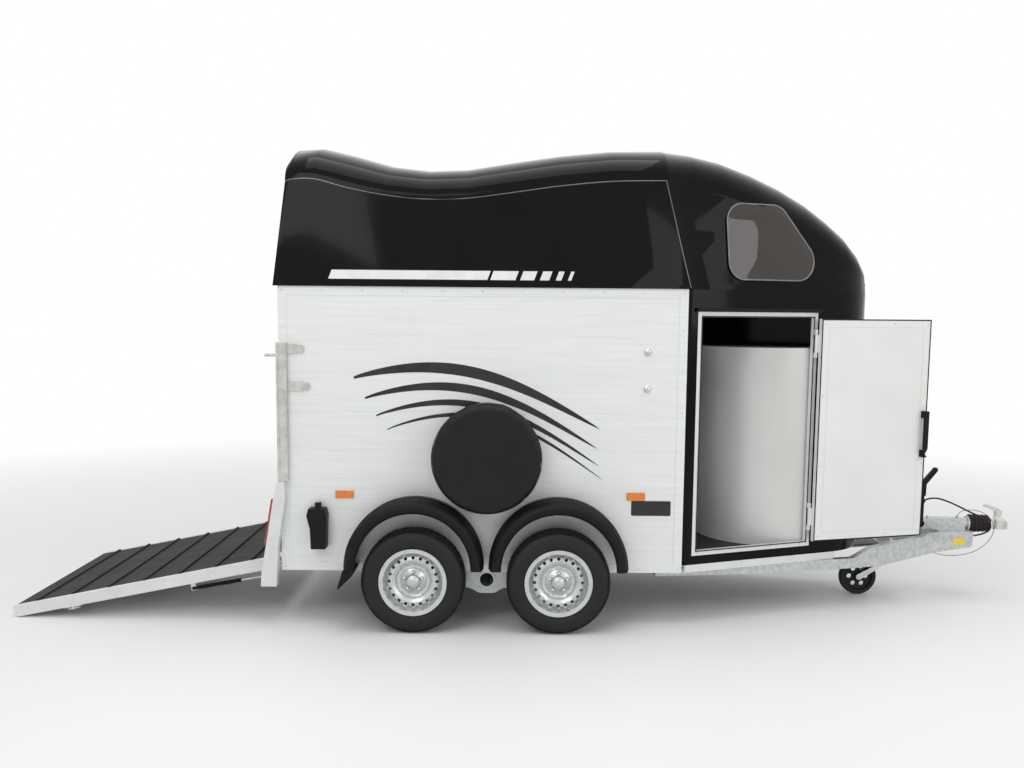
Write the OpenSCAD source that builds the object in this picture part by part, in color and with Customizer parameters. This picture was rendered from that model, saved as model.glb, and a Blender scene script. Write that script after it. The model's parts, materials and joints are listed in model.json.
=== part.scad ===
// Horse trailer for one large horse, braked, on four wheels, parked on its jockey wheel with its ramp down
// and its tack door open. Millimetres. +X points forwards, +Y to its left and +Z up.
// The ground is z = 0, and x = 0 is midway between the ramp's tip and the coupling's front.

/* [Body] */
// Width over the side walls
body_w = 1400; // [1300:10:1600]
// Rear end of the side walls
body_rear_x = -1425; // [-1500:5:-1400]
// Length of the straight side walls
body_len = 2205; // [2150:5:2300]
// Top of the side walls, where the roof sits
wall_top = 1850; // [1800:10:1950]
// Underside of the sill
sill_z = 295; // [285:1:300]
// Thickness of a side wall
wall_t = 26; // [20:1:30]
// Top of the floor
floor_top = 385; // [380:1:400]
// Thickness of the floor board
floor_t = 30; // [20:1:32]
// Height of the frame's top rail and sill
rail_h = 48; // [35:1:60]
// Width of the frame's corner posts
post_w = 45; // [30:1:60]
// Spacing of the wall's plank grooves
plank_h = 208; // [150:1:260]

/* [Nose and roof] */
// Angle by which each flank of the nose runs in
flank_angle = 22; // [18:0.5:24]
// Radius of the rounded front
nose_r = 355; // [330:1:370]
// Thickness of the moulded nose and roof
shell_t = 24; // [16:1:26]
// Distance by which the roof stands proud of the walls
lip_out = 16; // [10:1:20]
// Underside of the nose moulding
nose_z = 338; // [330:1:350]

/* [Tack door] */
// Distance from the nose's rear corner to the frame
door_from = 40; // [30:1:60]
// Width over the door frame
door_frame_w = 788; // [700:1:800]
// Underside of the door frame
door_z = 388; // [386:1:420]
// Height over the door frame
door_frame_h = 1342; // [1200:1:1400]
// Width of the frame's section
frame_w = 28; // [20:1:36]
// Thickness of the door's leaf
leaf_t = 28; // [20:1:28]
// Gap round the leaf
leaf_gap = 6; // [5:0.5:8]
// Distance of the hinge pin from the nose's surface
hinge_out = 14; // [12:1:20]
// Angle through which the door stands open
door_open = 174; // [90:1:176]

/* [Ramp] */
// Length from its hinge to its tip
ramp_len = 1468; // [1300:1:1500]
// Width over the ramp's side rails
ramp_w = 1330; // [1200:10:1340]
// Depth of a side rail
ramp_rail_h = 62; // [50:1:70]
// Width of a side rail
ramp_rail_w = 40; // [30:1:60]
// Distance from the ramp's underside to its hinge
ramp_under = 10; // [8:1:14]
// Height of the ramp's hinge
ramp_hinge_z = 300; // [290:1:310]
// Distance from the walls' rear end to the ramp's hinge
ramp_hinge_back = 70; // [66:1:80]
// Spacing of the ramp's cross battens
batten_step = 206; // [150:1:260]

/* [Wheels] */
// Radius of a tyre
tyre_r = 280.5; // [270:0.5:290]
// Width of a tyre
tyre_w = 165; // [140:1:180]
// Radius of a rim's flange
rim_r = 182; // [170:1:190]
// Distance between the two axles
axle_gap = 780; // [760:1:820]
// Middle of the two axles
axle_mid_x = -295; // [-350:1:-250]
// Gap between a tyre and the wall
tyre_in = 45; // [40:1:60]
// Number of vent holes in a rim
vent_count = 20; // [12:1:24]
// Radius of a mudguard
guard_r = 372; // [350:1:380]
// Height of a mudguard's centre
guard_z = 344; // [344:1:360]
// Width of a mudguard
guard_w = 218; // [200:1:240]
// Thickness of a mudguard's sheet
guard_t = 5; // [4:0.5:8]

/* [Drawbar] */
// Height of the tow ball's centre
ball_z = 434; // [425:1:440]
// Tow ball's centre
ball_x = 2845; // [2800:1:2900]
// Radius of the tow ball's socket
ball_r = 25; // [20:0.5:30]
// Front end of the drawbar's beams
beam_front_x = 2645; // [2600:1:2660]
// Radius of the cross tube
cross_tube_r = 49; // [40:1:55]
// Radius of the cross tube's bore
cross_bore_r = 38; // [30:1:42]
// Height of the cross tube
cross_tube_z = 245; // [235:1:245]

/* [Jockey wheel] */
// Radius of the jockey wheel
jockey_r = 112; // [100:1:115]
// Middle of the jockey wheel's column
jockey_x = 2128; // [2100:1:2200]
// Distance from the column to the wheel's axle
jockey_trail = 139; // [60:1:145]
// Radius of the column's outer tube
column_r = 26; // [24:1:30]

/* [Locker] */
// Radius of the swivelling tack locker
locker_r = 398; // [350:1:400]
// Middle of the tack locker
locker_x = 1380; // [1360:1:1400]
// Height of the tack locker
locker_h = 1145; // [900:5:1200]

/* [Hidden] */
$fn = 48;
// Clearance between pieces that are fixed to each other on a slanted face
seat_gap = 0.03;
eps = 0.01;

// Body and nose, in plan
half_w = body_w / 2;
body_front_x = body_rear_x + body_len;
corner_x = body_front_x + 20;
flank = [cos(flank_angle), sin(flank_angle)];
flank_out = [sin(flank_angle), -cos(flank_angle)];
// Centre of the rounded front, where a circle of nose_r is tangent to both flanks
nose_c = corner_x + (half_w * cos(flank_angle) - nose_r) / sin(flank_angle);
nose_tip = nose_c + nose_r;
front_steps = 28;

// Outline of the nose in plan, shrunk by inset, from the right rear corner round the front to the left one
function front_arc(r) =
    [for (i = [0 : front_steps])
        let (a = (flank_angle - 90) + (180 - 2 * flank_angle) * i / front_steps)
        [nose_c + r * cos(a), r * sin(a)]];
function flank_start(inset) = [corner_x - inset * tan(flank_angle / 2), half_w - inset];
function nose_outline(inset, back_x) = concat(
    [[back_x, inset - half_w], [flank_start(inset)[0], -flank_start(inset)[1]]],
    front_arc(nose_r - inset),
    [flank_start(inset), [back_x, half_w - inset]]);

// Half width of the nose's outside at a given x
flank_end_x = nose_c + nose_r * sin(flank_angle);
function nose_half(x) =
    x <= corner_x ? half_w :
    x <= flank_end_x ? half_w - (x - corner_x) * tan(flank_angle) :
    sqrt(max(0, nose_r * nose_r - pow(x - nose_c, 2)));

// Places a child that is drawn in the right flank's own plane: x runs forwards along it, y up, z outwards
module on_flank() {
    translate([corner_x, -half_w, 0])
        rotate([0, 0, flank_angle])
            rotate([90, 0, 0])
                children();
}
// Repeats a child on the trailer's other side
module both_sides() {
    children();
    mirror([0, 1, 0]) children();
}
// Box from one corner to the opposite one
module block(a, b) {
    translate(a) cube(b - a);
}
// Cylinder along Y from y0 to y1
module across(x, z, r, y0, y1) {
    translate([x, y0, z]) rotate([-90, 0, 0]) cylinder(r = r, h = y1 - y0);
}
// Cylinder along X from x0 to x1
module along(x0, x1, y, z, r) {
    translate([x0, y, z]) rotate([0, 90, 0]) cylinder(r = r, h = x1 - x0);
}

// Roof, as sections from the rear to the front.
// Columns: x at the lip, shift of x at the crease, crown height, crease height, lip half width, crease half width
side_out = half_w + lip_out;
roof_z = wall_top;
roof_sections = [
    [body_rear_x - 23, 62, 728, 548, side_out, 654],
    [body_rear_x + 12, 58, 782, 566, side_out, 660],
    [body_rear_x + 150, 50, 790, 568, side_out, 662],
    [body_rear_x + 330, 40, 752, 525, side_out, 660],
    [body_rear_x + 560, 25, 694, 486, side_out, 658],
    [body_rear_x + 790, 5, 672, 468, side_out, 656],
    [body_rear_x + 1030, -20, 682, 474, side_out, 656],
    [body_rear_x + 1300, -50, 722, 505, side_out, 658],
    [body_rear_x + 1600, -80, 762, 543, side_out, 660],
    [body_rear_x + 1900, -110, 788, 568, side_out, 662],
    [body_front_x + 8, -138, 792, 574, side_out, 662],
    [body_front_x + 22, -130, 790, 566, half_w - 1, 640],
    [body_front_x + 130, -95, 776, 545, 0, 0],
    [body_front_x + 270, -60, 742, 500, 0, 0],
    [body_front_x + 430, -35, 680, 430, 0, 0],
    [body_front_x + 590, -20, 606, 350, 0, 0],
    [body_front_x + 740, -10, 520, 270, 0, 0],
    [body_front_x + 870, -4, 425, 195, 0, 0],
    [body_front_x + 975, 0, 335, 140, 0, 0],
    [body_front_x + 1060, 0, 240, 95, 0, 0],
    [body_front_x + 1115, 0, 155, 62, 0, 0],
    [nose_tip - 6, 0, 88, 40, 0, 0]];
side_steps = 3;
crown_steps = 9;
// Shape of the crown's arc: 1 is an ellipse, less is squarer
crown_power = 0.86;
// Share of the nose's width that is left at the crease
crease_share = 0.915;

// Half widths at the lip and at the crease; sections in front of the body take the nose's own plan
function lip_half(s) = s[4] > 0 ? s[4] : nose_half(s[0]);
function crease_half(s) = s[5] > 0 ? s[5] : nose_half(s[0]) * crease_share;

// One section of the roof, shrunk by inset, from the right lip over the crown to the left lip
function half_section(s, inset) =
    let (w = lip_half(s) - inset, wc = crease_half(s) - inset,
         zc = s[3] - inset * 0.35, zt = s[2] - inset)
    concat(
        [for (i = [0 : side_steps])
            let (t = i / side_steps)
            [s[0] + s[1] * t, w + (wc - w) * t, roof_z + zc * t]],
        [for (i = [1 : crown_steps])
            let (a = 90 * i / crown_steps)
            [s[0] + s[1], wc * pow(max(cos(a), 0), crown_power), roof_z + zc + (zt - zc) * pow(sin(a), crown_power)]]);
function roof_ring(s, inset) =
    let (h = half_section(s, inset), n = len(h))
    concat([for (p = h) [p[0], -p[1], p[2]]], [for (i = [n - 2 : -1 : 0]) h[i]]);

// Sections of the inner skin end one thickness short of the tip
function inner_sections(t) =
    [for (i = [0 : len(roof_sections) - 1])
        let (s = roof_sections[i])
        i < len(roof_sections) - 1 ? s : [s[0] - t, s[1], s[2], s[3], s[4], s[5]]];

// Quads between two neighbouring rings of n points each, that start at index a and b
function skin_faces(a, b, n, turn) =
    [for (j = [0 : n - 2]) turn ? [a + j, b + j, b + j + 1, a + j + 1] : [a + j, a + j + 1, b + j + 1, b + j]];

module roof_skin(t0, t1) {
    outer = [for (s = inner_sections(t0)) each roof_ring(s, t0)];
    inner = [for (s = inner_sections(t1)) each roof_ring(s, t1)];
    n = len(roof_ring(roof_sections[0], 0));
    m = len(roof_sections);
    o = m * n;
    last = (m - 1) * n;
    faces = concat(
        [for (i = [0 : m - 2]) each skin_faces(i * n, (i + 1) * n, n, true)],
        [for (i = [0 : m - 2]) each skin_faces(o + i * n, o + (i + 1) * n, n, false)],
        [[for (j = [0 : n - 1]) last + j]],
        [[for (j = [n - 1 : -1 : 0]) o + last + j]],
        skin_faces(0, o, n, false),
        [for (i = [0 : m - 2]) [i * n, o + i * n, o + (i + 1) * n, (i + 1) * n]],
        [for (i = [0 : m - 2]) [i * n + n - 1, (i + 1) * n + n - 1, o + (i + 1) * n + n - 1, o + i * n + n - 1]],
        [[last, o + last, o + last + n - 1, last + n - 1]]);
    polyhedron(points = concat(outer, inner), faces = faces, convexity = 6);
}

// Window, in the flank's own plane: a straight rear edge, a round shoulder and a raked front
win_x = 190;
win_z = wall_top + 32;
win_w = 470;
win_h = 385;
function arc_points(c, r, a0, a1, n) = [for (i = [0 : n]) let (a = a0 + (a1 - a0) * i / n) c + r * [cos(a), sin(a)]];
function window_outline(d) = concat(
    arc_points([60, 60], 60 + d, 180, 270, 5),
    arc_points([win_w - 70, 70], 70 + d, -90, 20, 6),
    arc_points([win_w - 300, win_h - 150], 150 + d, 40, 95, 6),
    arc_points([110, win_h - 110], 110 + d, 95, 180, 6));

module window_prism(d, z0, z1) {
    on_flank() translate([win_x, win_z, z0]) linear_extrude(z1 - z0) polygon(window_outline(d));
}

// Body

module floor() {
    color("dimgray")
        translate([0, 0, floor_top - floor_t])
            linear_extrude(floor_t)
                polygon(nose_outline(half_w - wall_in, body_rear_x + 4));
}

// Outer frame of a wall, a little proud of the planks on both faces
frame_out = 4;
frame_in = 2;
wall_in = half_w - wall_t - frame_in;
groove = 1.6;
// Dome-headed bolts that carry the breast bar, at two heights
bar_x = body_front_x - 212;
bar_z = [1312, 1512];
bolt_r = 21;
module right_wall() {
    x0 = body_rear_x + post_w;
    x1 = body_front_x - post_w;
    z0 = sill_z + rail_h;
    z1 = wall_top - rail_h;
    difference() {
        block([body_rear_x, -half_w - frame_out, sill_z], [body_front_x, -wall_in, wall_top]);
        block([x0, -half_w - frame_out - 1, z0], [x1, -half_w, z1]);
        block([x0, -half_w + wall_t, z0], [x1, -wall_in + 1, z1]);
        for (z = [z0 + plank_h : plank_h : z1 - plank_h / 3])
            block([x0, -half_w - 1, z], [x1, -half_w + groove, z + 2 * groove]);
    }
    for (z = bar_z) across(bar_x, z, bolt_r, -half_w - 9, -half_w + 2);
}
module side_wall_right() {
    color("whitesmoke") right_wall();
}
module side_wall_left() {
    color("whitesmoke") mirror([0, 1, 0]) right_wall();
}

module nose_shell() {
    color("black")
        difference() {
            translate([0, 0, nose_z])
                linear_extrude(wall_top - nose_z)
                    difference() {
                        polygon(nose_outline(0, body_front_x));
                        polygon(nose_outline(shell_t, body_front_x - 1));
                    }
            on_flank()
                translate([door_from, door_z, -2 * shell_t])
                    cube([door_frame_w, door_frame_h, 4 * shell_t]);
        }
}

module roof_shell() {
    color("black")
        difference() {
            roof_skin(0, shell_t);
            window_prism(0, -160, 60);
            mirror([0, 1, 0]) window_prism(0, -160, 60);
        }
}

// Smoked panes that follow the moulding, set back from its outside
pane_back = 6;
pane_t = 6;
module windows() {
    color([0.25, 0.22, 0.2, 0.6])
        both_sides()
            intersection() {
                roof_skin(pane_back, pane_back + pane_t);
                window_prism(-seat_gap, -160, 60);
            }
}

// White sill under the nose's flanks
module nose_sills() {
    color("gainsboro")
        both_sides()
            on_flank()
                translate([0, sill_z, -shell_t])
                    cube([1010, nose_z - sill_z - seat_gap, shell_t]);
}

// Tack door and its frame, in the flank's own plane
drip_out = 20;
module door_frame() {
    color("gainsboro")
        on_flank() {
            difference() {
                translate([door_from, door_z, -shell_t])
                    cube([door_frame_w, door_frame_h, shell_t]);
                translate([door_from + frame_w, door_z + frame_w, -2 * shell_t])
                    cube([door_frame_w - 2 * frame_w, door_frame_h - 2 * frame_w, 4 * shell_t]);
            }
            translate([door_from - 14, door_z + door_frame_h, seat_gap])
                cube([door_frame_w + 28, 20, drip_out]);
            // Lugs below and above each knuckle of the door
            for (z = hinge_z, up = [-30, knuckle_h + 1])
                difference() {
                    translate([hinge_d - 6, z + up, 0]) cube([14, 29, hinge_out + 6]);
                    translate([hinge_d, z + up + 30, hinge_out])
                        rotate([90, 0, 0]) cylinder(r = hinge_bore_r, h = 31);
                }
        }
}

// The leaf stands proud of the frame by leaf_out
leaf_out = 6;
leaf_x0 = door_from + frame_w + leaf_gap;
leaf_x1 = door_from + door_frame_w - frame_w - leaf_gap;
leaf_z0 = door_z + frame_w + leaf_gap;
leaf_z1 = door_z + door_frame_h - frame_w - leaf_gap;
hinge_d = leaf_x1 + 14;
// The hinge pin's place in plan
hinge_xy = [corner_x, -half_w] + hinge_d * flank + hinge_out * flank_out;

// Turns what is drawn shut to where the door stands open
module door_stands() {
    translate([hinge_xy[0], hinge_xy[1], 0])
        rotate([0, 0, door_open])
            translate([-hinge_xy[0], -hinge_xy[1], 0])
                children();
}
pin_r = 6;
knuckle_h = 100;
hinge_bore_r = 4.5;
hinge_z = [leaf_z0 + 90, leaf_z1 - 190];
module tack_door() {
    color("white")
        door_stands()
            on_flank() {
                translate([leaf_x0, leaf_z0, leaf_out - leaf_t]) cube([leaf_x1 - leaf_x0, leaf_z1 - leaf_z0, leaf_t]);
                for (z = hinge_z) {
                    translate([leaf_x1 - 40, z, leaf_out - eps])
                        cube([hinge_d - leaf_x1 + 40, knuckle_h, 4]);
                    translate([hinge_d, z + knuckle_h, hinge_out])
                        rotate([90, 0, 0]) cylinder(r = pin_r, h = knuckle_h);
                    translate([hinge_d, z + knuckle_h + 28, hinge_out])
                        rotate([90, 0, 0]) cylinder(r = hinge_bore_r - 0.5, h = knuckle_h + 56);
                    translate([hinge_d - pin_r, z, leaf_out]) cube([2 * pin_r, knuckle_h, hinge_out - leaf_out]);
                }
            }
}
handle_z = 895;
handle_h = 270;
module door_handle() {
    inside = leaf_out - leaf_t;
    color("black")
        door_stands()
            on_flank() {
                // Bow inside the door, with the gap that fingers go through
                difference() {
                    translate([leaf_x0 + 10, handle_z, inside - 40]) cube([30, handle_h, 40]);
                    translate([leaf_x0 + 9, handle_z + 40, inside - 26]) cube([32, handle_h - 80, 27]);
                    translate([leaf_x0 + 9, handle_z - 1, inside - 41]) rotate([-35, 0, 0]) cube([32, 60, 30]);
                }
                translate([leaf_x0 + 8, handle_z + 20, leaf_out]) cube([50, handle_h - 40, 10]);
            }
}

// Tack locker: an upright half drum with a flat back and a lid, open to the floor
locker_t = 12;
module locker_plan(inset) {
    intersection() {
        circle(r = locker_r - inset, $fn = 96);
        translate([-locker_r, -locker_r]) square([2 * locker_r, locker_r + 60 - inset]);
    }
}
module tack_locker() {
    color("silver")
        translate([locker_x, 0, floor_top]) {
            difference() {
                linear_extrude(locker_h) locker_plan(0);
                translate([0, 0, -1]) linear_extrude(locker_h - locker_t + 1) locker_plan(locker_t);
            }
        }
}

// Padded breast bar between the walls
module breast_bar() {
    color("black") {
        across(bar_x, bar_z[0], 17, -half_w + wall_t, half_w - wall_t);
        across(bar_x, bar_z[0], 34, -half_w + wall_t + 60, half_w - wall_t - 60);
        for (y = [-half_w + wall_t, half_w - wall_t - 12])
            block([bar_x - 32, y, bar_z[0] - 40], [bar_x + 32, y + 12, bar_z[1] + 40]);
    }
}

// Rear posts with their latch pins, and the brackets bolted through the walls
post_back = 8;
post_z0 = 795;
post_z1 = 1550;
latch_z = 1480;
module rear_post() {
    y1 = -half_w - 4;
    y0 = y1 - 34;
    difference() {
        block([body_rear_x - post_back, y0, post_z0], [body_rear_x + 48, y1, post_z1]);
        block([body_rear_x + 4, y0 - 1, post_z0 - 1], [body_rear_x + 36, y0 + 6, post_z1 - 12]);
    }
    along(body_rear_x - post_back - 62, body_rear_x - post_back, y0 + 17, latch_z, 8);
    for (b = [[1515, 118], [1313, 148]]) {
        block([body_rear_x + 48, y1 - 8, b[0] - 26], [body_rear_x + b[1] - 18, y1, b[0] + 26]);
        across(body_rear_x + b[1], b[0], 21, y1 - 12, y1);
        block([body_rear_x + b[1] - 40, y1 - 8, b[0] - 16], [body_rear_x + b[1], y1, b[0] + 16]);
    }
}
module rear_posts() {
    color("silver") both_sides() rear_post();
}

// Bent carriers that hold the tail lamps beside the ramp. Columns: height, rear edge, front edge
carrier = [[215, -104, -18], [300, -100, -14], [450, -72, -5], [700, -30, 35], [794, -8, 30]];
carrier_y = 58;
function carrier_outline() = concat(
    [for (p = carrier) [body_rear_x + p[1], p[0]]],
    [for (i = [len(carrier) - 1 : -1 : 0]) [body_rear_x + carrier[i][2], carrier[i][0]]]);
module in_side_plane(y0, y1) {
    translate([0, y1, 0]) rotate([90, 0, 0]) linear_extrude(y1 - y0) children();
}
module lamp_carriers() {
    color("lightgray")
        both_sides() {
            in_side_plane(-half_w - 4 - carrier_y, -half_w - 4) polygon(carrier_outline());
            // Stud that faces the gas strut's rod end
            across(strut_pin[0], strut_pin[1], 6, -half_w - 6, -strut_y - strut_eye_w / 2 - 1);
        }
}
lamp_t = 12;
// Lamp strip on the carrier's rear edge, between two of its rows
module tail_lamps() {
    low = carrier[2];
    high = carrier[3];
    color("firebrick")
        both_sides()
            in_side_plane(-half_w - carrier_y, -half_w - 8)
                polygon([[body_rear_x + low[1], low[0]], [body_rear_x + low[1] - lamp_t, low[0]],
                         [body_rear_x + high[1] - lamp_t, high[0]], [body_rear_x + high[1], high[0]]]);
}

// Running gear

wheel_y = half_w + tyre_in + tyre_w / 2;
axle_x = [axle_mid_x + axle_gap / 2, axle_mid_x - axle_gap / 2];

// Section of the tyre: radius and distance from the wheel's middle, with three grooves in the tread
module tyre_profile() {
    b = tyre_w / 2;
    bead = rim_r - 14;
    half = [[bead, b * 0.78], [rim_r + 2, b * 0.86], [rim_r + 22, b * 0.97], [rim_r + 44, b],
            [tyre_r - 34, b - 3], [tyre_r - 12, b - 13], [tyre_r - 3, b - 24], [tyre_r, b - 40]];
    grooves = [[tyre_r, 48], [tyre_r - 7, 46], [tyre_r - 7, 38], [tyre_r, 36],
               [tyre_r, 10], [tyre_r - 7, 8], [tyre_r - 7, 1]];
    edge = concat(half, grooves);
    n = len(edge);
    polygon(concat(edge, [for (i = [n - 1 : -1 : 0]) [edge[i][0], -edge[i][1]]]));
}
module wheel_place(x, side) {
    translate([x, side * wheel_y, tyre_r]) rotate([side * 90, 0, 0]) children();
}
module tyre(x, side) {
    color("black") wheel_place(x, side) rotate_extrude() tyre_profile();
}

// Rim: a dished disc with a ring of vent holes, in a pressed steel rim. Outwards is -z here.
hub_r = 30;
bolt_ring = 50;
vent_ring = 129;
vent_r = 9;
rim_half = tyre_w * 0.39;
module rim(x, side) {
    color("silver")
        wheel_place(x, side)
            difference() {
                rotate_extrude()
                    polygon([
                        [rim_r - 14.2, -rim_half], [rim_r, -rim_half - 7], [rim_r, -rim_half - 13],
                        [rim_r - 22, -rim_half - 10], [rim_r - 34, -rim_half + 26], [rim_r - 42, -rim_half + 32],
                        [vent_ring + 8, -rim_half + 20], [vent_ring - 14, -rim_half + 14],
                        [96, -rim_half + 26], [88, -rim_half + 38], [72, -rim_half + 40], [66, -rim_half + 30],
                        [38, -rim_half + 28], [33, -rim_half + 8], [hub_r - 4, -rim_half + 4], [0, -rim_half + 4],
                        [0, -rim_half + 14], [stub_r + 8.5, -rim_half + 14], [stub_r + 8.5, -rim_half + 36],
                        [62, -rim_half + 38], [68, -rim_half + 48], [92, -rim_half + 46], [100, -rim_half + 34],
                        [vent_ring - 10, -rim_half + 22], [vent_ring + 6, -rim_half + 28],
                        [rim_r - 43, -rim_half + 44], [rim_r - 46, rim_half - 40],
                        [rim_r - 28, rim_half - 20], [rim_r - 22, rim_half + 9], [rim_r, rim_half + 12],
                        [rim_r, rim_half + 7], [rim_r - 14.2, rim_half], [rim_r - 16, rim_half - 22],
                        [rim_r - 38, rim_half - 42], [rim_r - 36, -rim_half + 42], [rim_r - 16, -rim_half + 24]]);
                for (i = [0 : vent_count - 1])
                    rotate([0, 0, i * 360 / vent_count])
                        translate([vent_ring, 0, -rim_half]) cylinder(r = vent_r, h = 60);
            }
}

// Mudguard's section: radius and distance outwards, with a rolled outer edge and two ribs
module guard_section() {
    t = guard_t;
    polygon([[guard_r - t, 0], [guard_r, 0], [guard_r, 60], [guard_r + 5, 66], [guard_r + 5, 84], [guard_r, 90],
             [guard_r, 128], [guard_r + 5, 134], [guard_r + 5, 152], [guard_r, 158],
             [guard_r - 3, guard_w - 26], [guard_r - 14, guard_w - 8], [guard_r - 32, guard_w],
             [guard_r - 52, guard_w - 4], [guard_r - 64, guard_w - 16],
             [guard_r - 60, guard_w - 19], [guard_r - 51, guard_w - 9], [guard_r - 34, guard_w - 5],
             [guard_r - 18, guard_w - 12], [guard_r - 8, guard_w - 28], [guard_r - t, 158], [guard_r, 150],
             [guard_r, 136], [guard_r - t, 130], [guard_r - t, 88], [guard_r, 82], [guard_r, 68], [guard_r - t, 62]]);
}
module mudguard(x) {
    translate([x, -half_w, guard_z])
        rotate([90, 0, 0])
            rotate_extrude(angle = 180)
                guard_section();
}
// Flap behind the rear wheel
module guard_flap() {
    x = axle_x[1] - guard_r;
    top = guard_z - 5 * seat_gap;
    in_side_plane(-half_w - guard_w, -half_w - 30)
        polygon([[x, top], [x + 62, top], [x + 52, top - 26], [x + 8, top - 70],
                 [x - 26, top - 102], [x - 30, top - 98]]);
}
module mudguards() {
    color("black")
        both_sides() {
            for (x = axle_x) mudguard(x);
            guard_flap();
        }
}

// Chassis: rails and cross members under the floor
floor_under = floor_top - floor_t;
rail_y = half_w - 110;
rail_drop = 60;
module chassis() {
    color("darkgray") {
        both_sides()
            block([body_rear_x + 20, -rail_y - 45, floor_under - rail_drop],
                  [body_front_x - 40, -rail_y, floor_under]);
        for (x = [body_rear_x + 20, body_rear_x + 560, axle_mid_x - 25, body_front_x - 400, body_front_x - 90])
            block([x, -rail_y - eps, floor_under - 50], [x + 50, rail_y + eps, floor_under]);
        for (y = lug_y) in_side_plane(y, y + lug_t) ramp_lug();
    }
}
// Lug that holds the ramp's pin: an eye on an arm that stays below the ramp's end
lug_t = 8;
lug_y = [-520, -468, 460, 512];
ramp_pin_r = 7;
module ramp_lug() {
    x0 = body_rear_x + 20 + eps;
    difference() {
        union() {
            polygon([[ramp_hinge_x, ramp_hinge_z - 9], [body_rear_x - 5, ramp_hinge_z - 9], [body_rear_x - 5, 350],
                     [x0, 350], [x0, 306], [x0 - 12, 272], [ramp_hinge_x, ramp_hinge_z - 14]]);
            translate([ramp_hinge_x, ramp_hinge_z]) circle(r = 2 * ramp_pin_r);
        }
        translate([ramp_hinge_x, ramp_hinge_z]) circle(r = ramp_pin_r + 0.5);
    }
}

// A-frame: two beams that run in from the rails to the coupling. Columns: distance along, underside, top
beam_t = 46;
beam_back = [body_front_x - 140, -half_w + 79];
beam_front = [beam_front_x, -50 - beam_t / 2];
beam_run = beam_front - beam_back;
beam_len = norm(beam_run);
beam_angle = atan2(beam_run[1], beam_run[0]);
beam_depth = [[0, 262, 295], [0.22, 244, 295], [0.42, 236, 295], [0.605, 236, 295], [0.655, 238, 346],
              [0.70, 243, 364], [0.78, 268, 384], [0.87, 300, 412], [0.90, 306, 416], [1, 320, 416]];
function beam_side() = concat(
    [for (p = beam_depth) [p[0] * beam_len, p[1]]],
    [for (i = [len(beam_depth) - 1 : -1 : 0]) [beam_depth[i][0] * beam_len, beam_depth[i][2]]]);
module beam() {
    translate([beam_back[0], beam_back[1], 0])
        rotate([0, 0, beam_angle])
            translate([0, beam_t / 2, 0])
                rotate([90, 0, 0])
                    difference() {
                        linear_extrude(beam_t) polygon(beam_side());
                        // The section is a channel, open inwards
                        translate([0, 0, -1])
                            linear_extrude(beam_t - 5)
                                polygon([for (p = beam_depth) [p[0] * (beam_len + 2) - 1, p[1] + 7],
                                         for (i = [len(beam_depth) - 1 : -1 : 0])
                                             [beam_depth[i][0] * (beam_len + 2) - 1, beam_depth[i][2] - 7]]);
                    }
}
beam_top = 416;
// Plate between the beams that the jockey wheel's clamp is bolted to
jockey_plate_z = 340;
// From a beam's middle into its web, measured across the trailer
plate_reach = (beam_t / 2 - 2) / cos(beam_angle);
module drawbar() {
    color("darkgray") {
        both_sides() beam();
        block([beam_front_x - 200, -80, beam_top - 8], [beam_front_x - 8, 80, beam_top]);
        block([beam_front_x - 12, -76, 322], [beam_front_x - 2, 76, beam_top]);
        difference() {
            translate([0, 0, jockey_plate_z])
                linear_extrude(10)
                    polygon([for (c = [[-60, -1], [60, -1], [60, 1], [-60, 1]])
                        [jockey_x + c[0], c[1] * (beam_gap(jockey_x + c[0]) + plate_reach)]]);
            translate([jockey_x, 0, jockey_plate_z - 1]) cylinder(r = column_r + 1, h = 12);
        }
    }
}
// Half the distance between the beams' middles at x
function beam_gap(x) = -(beam_back[1] + (x - beam_back[0]) * beam_run[1] / beam_run[0]);

// Axles: a cross tube between the wheels, the plates beside it, and arms that carry the hubs
tube_half = half_w - 12;
plate_t = 8;
arm_pivot = 96;
arm_y = tube_half - 56;
stub_r = 14;
plate_top = sill_z;
module pivot_plate(y) {
    in_side_plane(y, y + plate_t)
        translate([axle_mid_x, 0])
            polygon([[-150, plate_top], [150, plate_top], [150, cross_tube_z - 10], [110, cross_tube_z - 40],
                     [40, cross_tube_z - 78], [-40, cross_tube_z - 78], [-110, cross_tube_z - 40],
                     [-150, cross_tube_z - 10]]);
}
// The arm leads or trails by side_x
module swing_arm(side_x) {
    x0 = axle_mid_x + side_x * arm_pivot;
    x1 = axle_mid_x + side_x * axle_gap / 2;
    z0 = cross_tube_z - 20;
    in_side_plane(-arm_y - 20, -arm_y + 20)
        polygon([[x0 - side_x * 16, z0 - 26], [x0 - side_x * 16, z0 + 26], [x1 - side_x * 10, tyre_r + 10],
                 [x1 + side_x * 24, tyre_r + 10], [x1 + side_x * 28, tyre_r - 26], [x1 - side_x * 10, tyre_r - 36]]);
    across(x0, z0, 30, -tube_half + 10, -tube_half + 90 + plate_t);
    across(x1, tyre_r, stub_r, -wheel_y + 30, -arm_y);
    across(x1, tyre_r, stub_r + 8, -wheel_y - rim_half + 16, -wheel_y + 40);
    across(x1, tyre_r, 110, -wheel_y + 34, -wheel_y + tyre_w / 2 - 6);
}
module axles() {
    color("darkgray")
        difference() {
            union() {
                across(axle_mid_x, cross_tube_z, cross_tube_r, -tube_half, tube_half);
                both_sides() {
                    for (y = [-tube_half + 10, -tube_half + 90]) pivot_plate(y);
                    for (s = [-1, 1]) swing_arm(s);
                }
            }
            across(axle_mid_x, cross_tube_z, cross_bore_r, -tube_half - 1, tube_half + 1);
        }
}

// What is mounted on the body

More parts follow.
